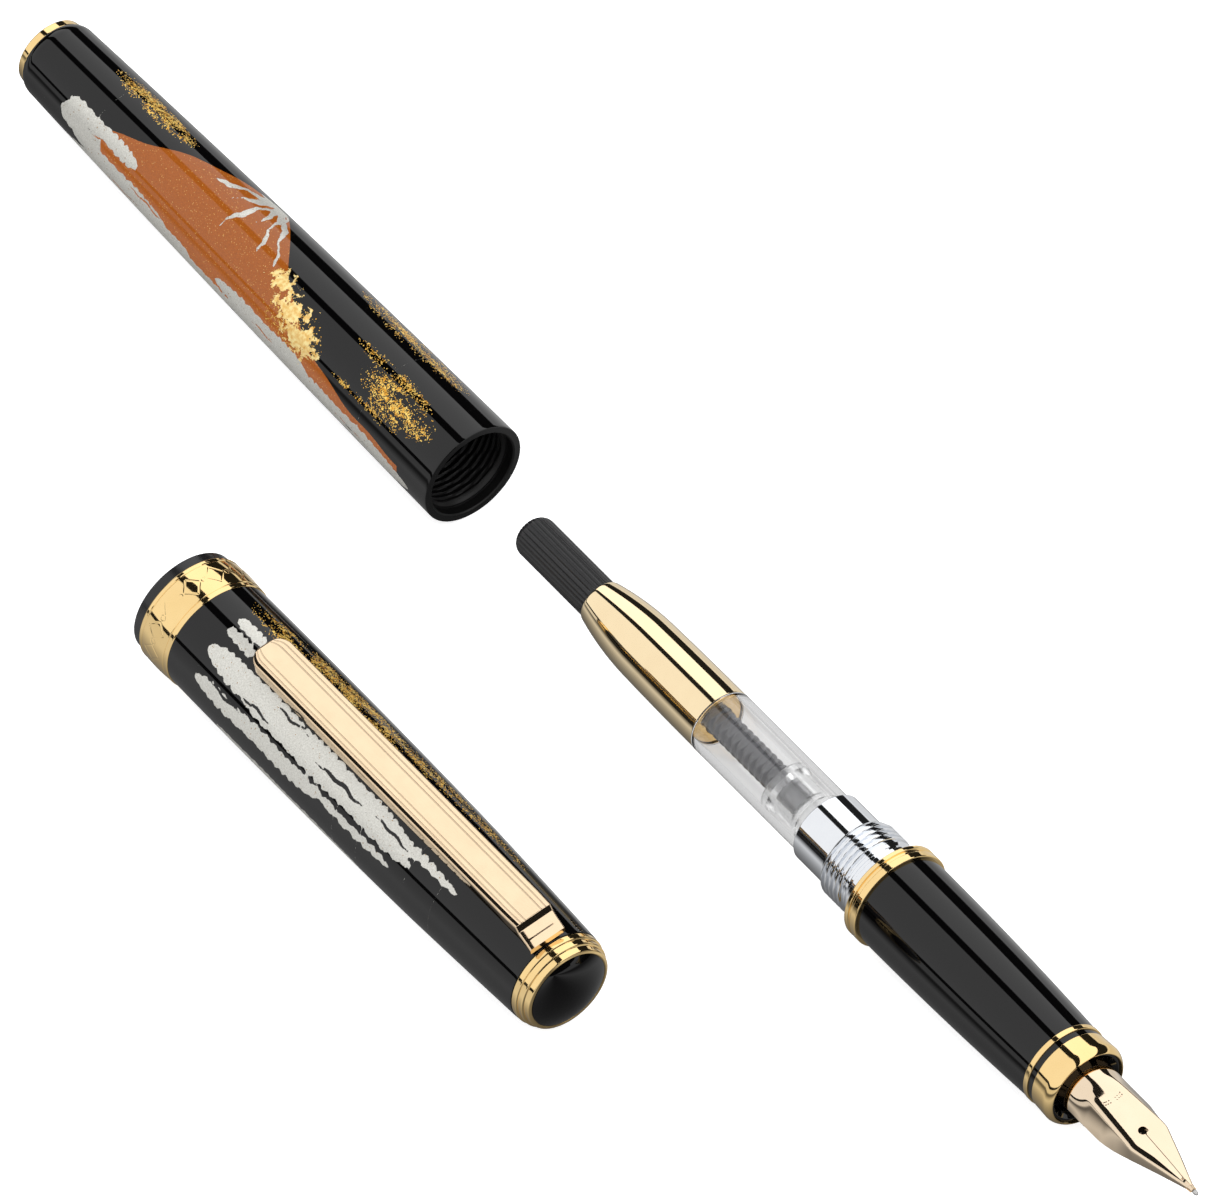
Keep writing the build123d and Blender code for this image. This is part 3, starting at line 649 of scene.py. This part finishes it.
def grip():
    """Lacquered grip with its gold flange, nose ring, spacer and collar."""
    shell_front, shell_bore, flange_skin, flange_groove = 33.0, 3.94, 5.84, 5.62
    body = bow((FLANGE_FRONT, 5.48), (15.0, 5.35), (GRIP_FRONT, 4.87), 60)
    shell = outline([(FLANGE_FRONT, 4.25), (FLANGE_FRONT, 5.47, 0.04), *body[1:-1], (GRIP_FRONT, 4.86, 0.06),
                     (GRIP_FRONT, 4.35), (shell_front, 4.35, 0.08), (shell_front, 4.05, 0.1), (32.2, 3.46),
                     (31.4, 3.46), (31.4, shell_bore), (9.1, shell_bore), (9.1, 4.25)], closed=True)
    flange = outline([(0, 4.25), (0, flange_skin, 0.12), (0.49, flange_skin, 0.10),
                      (0.60, flange_groove, 0.05), (0.90, flange_groove, 0.05), (1.01, flange_skin, 0.10),
                      (FLANGE_FRONT, flange_skin, 0.12), (FLANGE_FRONT, 4.25)], closed=True)
    ring = outline([(GRIP_FRONT, COLLAR_BORE), (GRIP_FRONT, 4.95, 0.10), (NOSE_RING_FRONT, 4.95, 0.10),
                    (NOSE_RING_FRONT, COLLAR_BORE)], closed=True)
    spacer = outline([(NOSE_RING_FRONT, COLLAR_BORE), (NOSE_RING_FRONT, 4.78), (SPACER_FRONT, 4.78),
                      (SPACER_FRONT, COLLAR_BORE)], closed=True)
    rounded = bow((32.4, 4.98), (32.85, 4.84), (33.25, 4.56), 8)
    collar = outline([(SPACER_FRONT, COLLAR_BORE), (SPACER_FRONT, 4.86, 0.06), (32.1, 4.97), *rounded,
                      (COLLAR_FRONT, 4.50, 0.04), (COLLAR_FRONT, 4.42, 0.03), (33.1, 4.37), (33.0, 4.36),
                      (31.0, 4.36)], closed=True)
    for name, line, finish, slot in (
        ("grip_shell", shell, black_lacquer, "black_lacquer"),
        ("flange_ring", flange, gold_plate, "gold_plate"),
        ("nose_ring", ring, gold_plate, "gold_plate"),
        ("nose_spacer", spacer, black_lacquer, "black_lacquer"),
        ("nose_collar", collar, gold_plate, "gold_plate"),
    ):
        turned(name, SECTION, line, finish, "grip_section", hollow=True)


def coupling():
    """Chromed coupling: a smooth collar, a helical thread that is added to the root's radius, a relief
    groove and a shoulder."""
    thread_root, thread_pitch, thread_depth = 4.43, 0.72, 0.37
    rear = outline([(0.5, 3.88), (-10.68, 3.88, 0.08), (-10.8, 4.02, 0.1), (-10.62, 4.25, 0.12),
                    (-5.9, 4.25)])
    x = spaced(-5.85, (-1.75, 0.04))
    screw = np.stack([x, np.full(len(x), thread_root)], -1)
    front = outline([(-1.72, 4.38), (-1.26, 4.38, 0.05), (-1.16, 4.80, 0.05), (0, 4.80, 0.04), (0, 4.20),
                     (9.0, 4.20), (9.0, 3.50), (0.5, 3.50)])

    def bent(along, radius, turn):
        male = radius + thread(along, turn, -5.9, -1.7, thread_pitch, thread_depth)
        return np.where((radius == thread_root) & (along < -1.7), male, radius + 0 * turn)

    turned("threaded_coupling", SECTION, np.vstack([rear, screw, front]), chrome_plate, "grip_section",
           around=160, hollow=True, bent=bent)


def nib():
    """The nib is a thin plate over a cross-section that changes from a round back to a flat top with two
    sloping sides. Its points are a function of along and of u, from -1 at one edge to 1 at the other.

    Back: an arc of the feed's circle, side = r sin(u a) and up = r cos(u a). Front: a path from the middle
    of the flat to the crease and down to the edge, softened at the crease, with a slight bevel beside it.
    The two are mixed at the heel. Points next to the vent hole are drawn onto its rim, and the slit runs on
    from it.
    """
    along = spaced(22.0, (33.0, 0.5), (35.5, 0.10), (41.2, 0.05), (44.6, 0.08), (51.1, 0.1))
    u_half = np.concatenate([[0.010], np.linspace(0.032, 1, 82)])
    u = np.concatenate([-u_half[::-1], u_half])[None, :]
    x = along[:, None]
    half = eased(x, [22, 39.6, 41.6, 44.0, 47.4, 51.1, 52], [3.30, 3.30, 3.02, 2.46, 1.42, 0.22, 0.1])
    edge = eased(x, [22, 40.5, 43.6, 47.4, 51.1, 52], [0.60, 0.60, 0.88, 0.98, 0.80, 0.80])
    flat = eased(x, [22, 36.6, 43.9, 47.4, 51.1, 52], [1.75, 1.85, 2.38, 1.36, 0.20, 0.1])
    top = eased(x, [22, 36.5, 43.0, 47.4, 51.1, 52], [3.22, 3.16, 2.84, 2.00, 1.06, 0.84])
    swing = np.abs(u) * math.radians(80.0)
    back_side, back_up = 3.34 * np.sin(swing), 3.35 * np.cos(swing)
    slope = np.hypot(half - flat, top - edge)
    past_crease = np.abs(u) * (flat + slope) - flat
    soft = 0.14
    rounded = np.sqrt(past_crease**2 + soft**2)
    past, short = (past_crease + rounded) / 2, (past_crease - rounded) / 2
    front_side = flat + short + past * (half - flat) / slope
    swell = 0.10 * np.sin(np.clip(past_crease / slope, 0, 1) * math.pi)
    front_up = top - past * (top - edge) / slope + swell
    bevel = np.minimum(0.8, 0.45 * flat)
    front_up = front_up - 0.105 * np.clip(past_crease + bevel, 0, bevel)
    front_up = front_up - 0.045 * np.sign(u) * front_side * step(42.0, 45.5, x)
    heel = step(34.6, 37.4, x + 0.5 * np.abs(u))
    side = np.sign(u) * ((1 - heel) * back_side + heel * front_side)
    up = (1 - heel) * back_up + heel * front_up
    hole_x, hole_r, slit_half = 42.95, 0.48, 0.035
    from_hole = np.hypot(x - hole_x, side)
    on_rim = (np.abs(from_hole - hole_r) < 0.075) & (from_hole > 1e-6)
    reach = np.where(on_rim, hole_r / np.maximum(from_hole, 1e-6), 1)
    x_grid, side = hole_x + (x - hole_x) * reach, side * reach
    side = np.where((x > hole_x) & (np.abs(u) < 0.02), np.sign(u) * slit_half, side)
    etched = np.zeros(side.shape, bool)
    for line_x in (37.95, 38.3):
        etched = etched | ((np.abs(x - line_x + 0.16 * side**2) < 0.045) & (np.abs(side) < 1.1))
    points = laid(NIB, x_grid, side, up - 0.016 * etched)
    rows, cols = side.shape
    number = np.arange(rows * cols).reshape(rows, cols)
    in_hole = from_hole < hole_r - 0.02
    gone = in_hole[:-1, :-1] | in_hole[:-1, 1:] | in_hole[1:, :-1] | in_hole[1:, 1:]
    gone[:, cols // 2 - 1] |= along[:-1] > hole_x
    corners = np.stack([number[:-1, :-1], number[1:, :-1], number[1:, 1:], number[:-1, 1:]], -1)[~gone]
    kept, faces = np.unique(corners, return_inverse=True)
    mesh = bpy.data.meshes.new("nib_sheet")
    mesh.from_pydata(points.reshape(-1, 3)[kept].tolist(), [], faces.reshape(-1, 4).tolist())
    mesh.polygons.foreach_set("use_smooth", np.ones(len(mesh.polygons), bool))
    sheet = bpy.data.objects.new("nib_sheet", mesh)
    bpy.context.scene.collection.objects.link(sheet)
    wall = sheet.modifiers.new("wall", "SOLIDIFY")
    wall.thickness, wall.offset, wall.use_even_offset = 0.26 * MM, -1.0, False
    solid = bpy.data.meshes.new_from_object(sheet.evaluated_get(bpy.context.evaluated_depsgraph_get()))
    bpy.data.objects.remove(sheet)
    solid.set_sharp_from_angle(angle=math.radians(50))
    fitted("nib", solid, nib_gold, "grip_section")


def nib_point():
    """Ground pellet of hard alloy at the point: an egg whose underside is cut off flat."""
    half_long, half_wide, half_tall, middle_up, flat_up = 0.42, 0.25, 0.24, 0.86, 0.64
    turn = np.linspace(0, 2 * math.pi, 32, endpoint=False)[None, :]
    t = np.linspace(0, math.pi, 17)[:, None]
    along = 51.38 - half_long * np.cos(t)
    side = half_wide * np.sin(t) * np.sin(turn)
    up = np.maximum(middle_up + half_tall * np.sin(t) * np.cos(turn), flat_up)
    mesh = woven("nib_tipping", laid(NIB, along, side, up))
    fitted("nib_tipping", mesh, tip_metal, "grip_section")


# ------------------------------------------------------------------ converter

def converter_sleeve():
    """Gold ogive: a rounded shoulder behind a body that swells by a parabola, over the tube's rear."""
    swell, swell_front, swell_length = 0.13, -28.9, 11.7
    nose = bow((-48.8, 2.62), (-45.6, 3.24), (-40.6, 3.66), 44)
    places = np.linspace(-40.0, swell_front, 24)
    body = [(x, 3.66 + swell * (1 - ((swell_front - x) / swell_length) ** 2)) for x in places]
    line = outline([(SLEEVE_REAR, 1.98), (SLEEVE_REAR, 2.58, 0.05), *nose, *body, (SLEEVE_FRONT, 3.80, 0.07),
                    (SLEEVE_FRONT, 3.46, 0.03), (-35.1, 3.46), (-35.1, 3.10), (-41.0, 3.10), (-45.6, 2.76),
                    (-47.6, 2.40), (-47.6, 1.98)], closed=True)
    turned("converter_sleeve", SECTION, line, pale_gold, "converter", hollow=True)


def converter_tube():
    """Clear tube with a rounded mouth; its rear is turned down to go into the sleeve."""
    rear, step_place = -35.0, -28.55
    line = outline([(rear, TUBE_BORE), (rear, 3.44), (step_place, 3.44), (step_place, TUBE_SKIN, 0.08),
                    (TUBE_FRONT, TUBE_SKIN, 0.2), (TUBE_FRONT, TUBE_BORE, 0.1)], closed=True)
    turned("converter_tube", SECTION, line, clear_plastic, "converter", hollow=True)


def mouth_plug():
    """Moulded seat in the tube's mouth, open in the middle for the nipple."""
    rear, front, skin, bore = -9.6, -1.3, 3.0, 1.42
    line = outline([(rear, bore), (rear, 2.2, 0.1), (-8.8, skin, 0.15), (front, skin, 0.1), (front, 2.0),
                    (-2.0, bore)], closed=True)
    turned("mouth_plug", SECTION, line, frosted_plastic, "converter", hollow=True)


def guide_bush():
    """Gold bush with a polished flat face. Its bore is a circle cut by the rod's two flats: the radius is
    the less of the circle's and of the flat's, which is its distance over |cos turn|."""
    rear, front, skin, bore_mark = -34.9, -28.55, 3.03, 1.0
    line = outline([(rear, bore_mark), (rear, skin), (-28.7, skin, 0.15), (front, 2.75, 0.05),
                    (front, bore_mark)], closed=True)

    def bent(along, radius, turn):
        flats = np.minimum(1.68, 1.33 / np.maximum(np.abs(np.cos(turn)), 1e-3))
        return np.where(radius == bore_mark, flats, radius + 0 * turn)

    turned("guide_bush", NIB, line, bush_gold, "converter", hollow=True, bent=bent)


def converter_knob():
    """Ribbed knob with a rounded end, on a smooth shank. The ribs are rounded, with a narrow valley where
    |cos(n turn / 2)| comes near to one, and they end before the sleeve."""
    ribs, rib_depth, skin, shank, collar, socket = 26, 0.11, 2.36, 1.92, 2.50, 1.72
    end = bow((KNOB_REAR, 1.25), (-60.75, 1.98), (-59.8, skin), 10)
    ribbed = [(x, skin) for x in spaced(-59.6, (-49.1, 0.35))]
    line = outline([(-61.0, 0), (KNOB_REAR, 0.5), (KNOB_REAR, 1.15), *end, *ribbed, (-48.96, 2.30),
                    (-48.96, shank), (-45.4, shank), (-45.4, collar), (-44.4, collar), (-44.4, shank),
                    (-35.1, shank), (-35.1, socket), (-52.0, socket), (-52.0, 0)])

    def bent(along, radius, turn):
        valley = np.abs(np.cos(0.5 * ribs * turn)) ** 7
        return radius - rib_depth * valley * step(1.3, 2.0, radius) * step(-48.97, -49.2, along)

    turned("converter_knob", SECTION, line, knob_black, "knob", around=260, bent=bent)


def piston_rod():
    """Grey rod with a helical thread, cut by two flats: the radius is the less of the thread's and of the
    flat's, which is its distance over |cos turn|."""
    rear, thread_mark, end_radius, flat, pitch, depth = -43.0, 1.25, 1.5, 1.27, 1.0, 0.40
    x = spaced(rear, (-17.3, 0.055))
    line = np.vstack([[(rear, 0.0)], np.stack([x, np.full(len(x), thread_mark)], -1),
                      [(ROD_THREAD_FRONT, end_radius), (ROD_FRONT, end_radius), (ROD_FRONT, 0.0)]])

    def bent(along, radius, turn):
        cut = flat / np.maximum(np.abs(np.cos(turn)), 1e-3)
        threaded = np.minimum(1.20 + thread(along, turn, -43.2, -17.6, pitch, depth), cut)
        return np.where(radius == thread_mark, threaded, radius + 0 * turn)

    turned("piston_rod", NIB, line, rod_grey, "piston", around=96, bent=bent, sharp=40)


def piston_seal():
    """Clear soft piston: two lips with a waist between them, and a socket behind for the rod."""
    socket_end, socket, lip, waist = -13.48, 1.53, 3.0, 2.55
    line = outline([(socket_end, 0), (socket_end, socket), (ROD_THREAD_FRONT, socket),
                    (ROD_THREAD_FRONT, 2.80), (-17.4, 2.92), (-17.2, lip, 0.08), (-16.5, lip, 0.1),
                    (-15.9, waist, 0.1), (-12.3, waist, 0.1), (-11.7, lip, 0.1), (-11.0, lip, 0.08),
                    (-10.8, 2.85, 0.05), (-11.7, 0.6, 0.2), (-11.7, 0)])
    turned("piston_seal", SECTION, line, seal_plastic, "piston")


# ------------------------------------------------------------------ cap

def cap_tube():
    """Lacquered cap: nearly straight, then drawn in towards the crown."""
    bore = 5.96
    straight = bow((BAND_FRONT, 6.43), (26.0, 6.49), (46.0, 6.26), 170)
    drawn = bow((46.0, 6.26), (55.0, 5.97), (CAP_TUBE_FRONT, 5.66), 74)[1:]
    line = outline([(BAND_REAR, bore), (BAND_REAR, 6.15), (BAND_FRONT, 6.15), *straight, *drawn[:-1],
                    (CAP_TUBE_FRONT, 5.65, 0.06), (CAP_TUBE_FRONT, STEM), (61.5, STEM), (61.5, 4.90),
                    (53.0, bore)], closed=True)

    def fields(along, radius, turn):
        picture = cap_picture(along, radius, turn)
        outer = (along > 6.0) & (radius > np.interp(along, [6.0, 46.0, 64.0], [6.2, 6.1, 5.5]))
        return {n: np.where(outer, f, 0 if n == "dust" else HIDDEN) for n, f in picture.items()}

    turned("cap_tube", CAP, line, picture_lacquer, "cap", around=176, hollow=True,
           fields=fields)


def inner_cap():
    """Black liner: its lip shows in front of the band, and its bore is what the mouth shows."""
    lip, skin, wide_bore, narrow_bore = 6.30, 5.92, 5.62, 5.2
    outside = [(BAND_REAR, lip), (BAND_REAR, skin), (50.0, skin), (51.5, 5.2), (51.5, 0)]
    bore = outline([(50.7, 0), (50.7, 4.8, 0.3), (49.9, narrow_bore), (28.0, narrow_bore),
                    (27.0, wide_bore), (0.15, wide_bore, 0.05), (0, 5.77)])
    line = outline([(0, 5.77, 0.1), (0, lip, 0.10), *outside])[1:]
    turned("inner_cap", CAP, np.vstack([bore, line]), liner_black, "cap")


def cap_band():
    """Gold band with a bead at each edge. Its middle is engraved with a row of lozenges with a round dot
    between them: the radius is lowered where |a| + |b| of a lozenge's own coordinates comes near to one."""
    seat, middle_place, count, line_half, depth = 6.17, 3.57, 14, 0.10, 0.034
    swelling = bow((1.86, 6.60), (3.5, 6.66), (5.28, 6.58), 84)
    line = outline([(BAND_REAR, seat), (BAND_REAR, 6.50, 0.05), (1.40, 6.60, 0.05), (1.66, 6.60, 0.04),
                    (1.77, 6.48, 0.03), *swelling, (5.38, 6.46, 0.03), (5.50, 6.57, 0.04),
                    (5.90, 6.56, 0.06), (BAND_FRONT, 6.46, 0.03), (BAND_FRONT, seat)], closed=True)

    def bent(along, radius, turn):
        cell = 2 * math.pi * 6.62 / count
        a = ((turn * count / (2 * math.pi)) % 1 - 0.5) * cell
        b = along - middle_place
        lozenge = np.abs(np.abs(a) / 1.05 + np.abs(b) / 1.15 - 1) * 0.75
        dot = np.abs(np.hypot(cell / 2 - np.abs(a), b) - 0.30)
        cut = depth * step(-line_half, 0.0, -np.minimum(lozenge, dot))
        return radius - cut * ((along > 2.0) & (along < 5.2) & (radius > 6.5))

    turned("cap_band", CAP, line, gold_plate, "cap", around=count * 44, hollow=True, bent=bent,
           sharp=60)


def crown():
    """Three gold steps and the domed black jewel, a cap of the sphere that its rise and its rim give."""
    base, seat, dome_top, dome_base, rim = 63.47, 65.10, 67.0, 65.72, 4.57
    steps = outline([(base, 4.97), (base, 5.60, 0.09), (64.16, 5.60, 0.16), (64.24, 5.40, 0.02),
                     (64.92, 5.40, 0.18), (65.00, 5.14, 0.02), (65.62, 5.06, 0.20),
                     (CROWN_FRONT, 4.72, 0.04), (65.70, 4.60, 0.02), (seat, 4.60), (seat, STEM),
                     (63.97, STEM), (63.97, 4.97)], closed=True)
    turned("crown_rings", CAP, steps, gold_plate, "cap", hollow=True)
    rise = dome_top - dome_base
    sphere = rim**2 / (2 * rise) + rise / 2
    t = np.linspace(math.asin(rim / sphere), 0, 28)
    dome = np.stack([dome_top - sphere + sphere * np.cos(t), sphere * np.sin(t)], -1)
    stem = [(57.0, 0), (57.0, 2.25), (seat, 2.25), (seat, rim), (65.66, rim)]
    turned("finial", CAP, np.vstack([stem, dome]), black_lacquer, "cap")


def clip():
    """Sprung clip: a closed cross-section carried along the clip, then down its bent end into the crown.

    A point of the section is a share of the half width and a depth below the top line. The half width
    follows the clip's plan, which is round at the free end, and the top line drops over a bend at the fixed
    end. Four V-shaped grooves are pressed in the top, and the underside is hollow.
    """
    half, end_round, tall = 2.30, 1.9, 1.30
    free_end, fixed_end = 15.40, 63.36
    x = spaced(free_end, (15.9, 0.04), (17.6, 0.09), (58.6, 0.9), (60.6, 0.1), (fixed_end, 0.03))[:, None]
    rounding = end_round - np.clip(x - free_end, 0, end_round)
    width = half - end_round + np.sqrt(end_round**2 - rounding**2) - 0.10 * step(58.5, 63.0, x)
    tip_drop = 0.16 * np.clip((15.85 - x) / 0.45, 0, 1) ** 2
    bend_places = [14, 61.20, 61.60, 62.50, 62.62, 63.50, 65]
    bend_drops = [0, 0, 0.70, 1.33, 1.34, 1.97, 2.4]
    top = 8.30 - tip_drop - eased(x, bend_places, bend_drops, 0.05)
    height = tall - 0.68 * step(60.4, 62.6, x)
    share = np.linspace(-0.94, 0.94, 131)[None, :]
    groove = np.zeros_like(share)
    for place in (-1.62, -1.05, 1.05, 1.62):
        groove = np.maximum(groove, np.clip(1 - np.abs(share * half - place) / 0.12, 0, 1))
    pressed = 0.034 * groove * step(15.6, 16.0, x) * (1 - step(61.0, 61.6, x))
    top_depth = pressed + 0.05 * np.abs(share) ** 8
    quarter = np.linspace(0, math.pi / 2, 6)[None, 1:]
    lip_depth = 0.05 + 0.19 * (1 - np.cos(quarter)) + 0 * x
    wall_depth = 0.24 + (height - 0.24) * np.array([[0.35, 0.6, 0.85, 1.0]])
    hollow = height - 0.75 * step(16.4, 18.4, x) * (1 - step(57.6, 59.6, x))
    edge_share = np.hstack([0.94 + 0.06 * np.sin(quarter), [[1.0, 1.0, 1.0, 1.0, 0.97, 0.78, 0.76, 0.76]]])
    edge_depth = np.hstack([lip_depth, wall_depth, height + 0.02, height + 0.02, height - 0.02, hollow])
    side = width * np.hstack([share, edge_share, -edge_share[:, ::-1]])
    up = top - np.hstack([top_depth, edge_depth, edge_depth[:, ::-1]])

    def closed_ends(grid):
        """The grid with the mean of its first and of its last row added, as a pole at each end."""
        first, last = grid[:1].mean(axis=1, keepdims=True), grid[-1:].mean(axis=1, keepdims=True)
        return np.vstack([first + 0 * grid[:1], grid, last + 0 * grid[:1]])

    points = laid(CLIP, closed_ends(x + 0 * side), closed_ends(side), closed_ends(up))
    fitted("clip", woven("clip", points, sharp=38), clip_gold, "clip")


# ------------------------------------------------------------------ carried-over CAD nodes

def dress(name, finish):
    """Gives a CAD node that stays in view its finish."""
    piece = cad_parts[name]
    piece.data.materials.clear()
    piece.data.materials.append(finish)


barrel_tube()
barrel_end()
grip()
coupling()
nib()
nib_point()
converter_sleeve()
converter_tube()
mouth_plug()
guide_bush()
converter_knob()
piston_rod()
piston_seal()
cap_tube()
inner_cap()
cap_band()
crown()
clip()
dress("feed", feed_black)
dress("feed_housing", feed_black)
dress("clip_washer", bare_brass)
dress("finial_nut", bare_brass)


# ------------------------------------------------------------------ studio

def softbox(name, lean, half, distance, length, radiance):
    """Long soft light over the pen: its middle leans over from straight up towards -Y, and it spans half
    degrees to each side of that as seen from the pen. Its radiance is what a mirror shows of it."""
    light = bpy.data.lights.new(name, "AREA")
    light.shape = "RECTANGLE"
    width = 2 * distance * math.tan(math.radians(half))
    light.size, light.size_y = length, width
    light.energy = radiance * math.pi * length * width
    holder = bpy.data.objects.new(name, light)
    a = math.radians(lean)
    outward = Vector((0, -math.sin(a), math.cos(a)))
    holder.location = outward * distance
    holder.rotation_mode = "QUATERNION"
    holder.rotation_quaternion = outward.to_track_quat("Z", "Y")
    holder.visible_camera = False
    bpy.context.scene.collection.objects.link(holder)


def ray_kinds(tree):
    """The light path, and 1 for a ray that passed through clear plastic and for one that left a mirror."""
    path = node(tree, "ShaderNodeLightPath")
    passed = maths(tree, "GREATER_THAN", path.outputs["Transmission Depth"], 0.5)
    glossy = path.outputs["Is Glossy Ray"]
    return path, passed, glossy


def room():
    """Walls of light: white to the camera, half as bright as a light, dark in mirrors and brighter to what
    is seen through clear plastic."""
    world = bpy.data.worlds.new("studio")
    bpy.context.scene.world = world
    world.use_nodes = True
    tree = world.node_tree
    path, passed, glossy = ray_kinds(tree)
    outside = maths(tree, "MULTIPLY_ADD", glossy, -0.435, 0.45)
    inside = maths(tree, "MULTIPLY_ADD", glossy, -0.32, 0.97)
    seen = node(tree, "ShaderNodeMix", Factor=passed, A=outside, B=inside).outputs[0]
    strength = node(tree, "ShaderNodeMix", Factor=path.outputs["Is Camera Ray"], A=seen, B=1.0).outputs[0]
    tree.links.new(strength, tree.nodes["Background"].inputs["Strength"])
    tree.nodes["Background"].inputs["Color"].default_value = (1, 1, 1, 1)


def floor():
    """A plain pale floor; mirrors see it as a glow with a painted shadow, darker where the pen lies close
    over it.
    """
    half_size = 60.0
    grid = np.linspace(-half_size, half_size, 3)
    x, y = np.meshgrid(grid, grid, indexing="ij")
    mesh = woven("floor", np.stack([x, y, 0 * x], -1), round_cols=False)
    if mesh.polygons[0].normal.z < 0:
        mesh.flip_normals()
    material, tree, shader = finish_tree("floor_paper")
    paper = mixed(tree, grain(tree, 60, 3.0), (0.80, 0.80, 0.80, 1), (0.84, 0.84, 0.84, 1))
    tree.links.new(paper, shader.inputs["Base Color"])
    shader.inputs["Roughness"].default_value = 0.9
    shader.inputs["Specular IOR Level"].default_value = 0.1
    path, passed, glossy = ray_kinds(tree)
    glow = maths(tree, "MULTIPLY_ADD", path.outputs["Is Diffuse Ray"], -0.52, 0.62)
    shader.inputs["Emission Color"].default_value = (1, 1, 1, 1)
    tree.links.new(glow, shader.inputs["Emission Strength"])
    # Painted shadow: the floor's glow in mirrors is dimmed near the pen's and the cap's axes, where the pen
    # shades the floor.
    place = node(tree, "ShaderNodeSeparateXYZ", Vector=placed(tree)).outputs["Y"]
    off_pen = maths(tree, "ABSOLUTE", maths(tree, "SUBTRACT", place, pen_middle.y * MM))
    off_cap = maths(tree, "ABSOLUTE", maths(tree, "SUBTRACT", place, cap_middle.y * MM))
    near = maths(tree, "MINIMUM", off_pen, off_cap)
    outside = ranged(tree, near, 0.0015, 0.022, 0.13, 0.74, smooth=True)
    inside = maths(tree, "MULTIPLY_ADD", glossy, -0.30, 0.98)
    strength = node(tree, "ShaderNodeMix", Factor=passed, A=outside, B=inside).outputs[0]
    mirror = node(tree, "ShaderNodeEmission", Strength=strength)
    both = node(tree, "ShaderNodeMixShader", Fac=maths(tree, "MAXIMUM", glossy, passed))
    tree.links.new(shader.outputs[0], both.inputs[1])
    tree.links.new(mirror.outputs[0], both.inputs[2])
    tree.links.new(both.outputs[0], tree.nodes["Material Output"].inputs["Surface"])
    mesh.materials.append(material)
    piece = bpy.data.objects.new("floor", mesh)
    bpy.context.scene.collection.objects.link(piece)


def camera():
    """A long lens far back, above and to the side of the pen, that frames all of it."""
    azimuth, elevation, lens = math.radians(53.16), math.radians(48.5), 1400.0
    right = Vector((math.cos(azimuth), math.sin(azimuth), 0))
    back = Vector((math.sin(azimuth) * math.cos(elevation), -math.cos(azimuth) * math.cos(elevation),
                   math.sin(elevation)))
    up = back.cross(right)
    millimetres_across = 123.9
    distance = lens / 36.0 * millimetres_across * MM
    aim = right * (12.89 * MM) + up * (13.79 * MM)
    view = bpy.data.cameras.new("camera")
    view.lens, view.clip_start, view.clip_end = lens, 0.05, 200.0
    holder = bpy.data.objects.new("camera", view)
    holder.location = aim + back * distance
    holder.rotation_mode = "QUATERNION"
    holder.rotation_quaternion = back.to_track_quat("Z", "Y")
    bpy.context.scene.collection.objects.link(holder)
    bpy.context.scene.camera = holder


softbox("left_softbox", lean=44.0, half=39.0, distance=1.5, length=7.0, radiance=1.0)
softbox("right_softbox", lean=-33.0, half=24.0, distance=1.5, length=7.0, radiance=1.35)
softbox("low_softbox", lean=-87.3, half=2.5, distance=1.5, length=7.0, radiance=0.8)
room()
floor()
camera()
bpy.context.scene.view_settings.view_transform = "Standard"
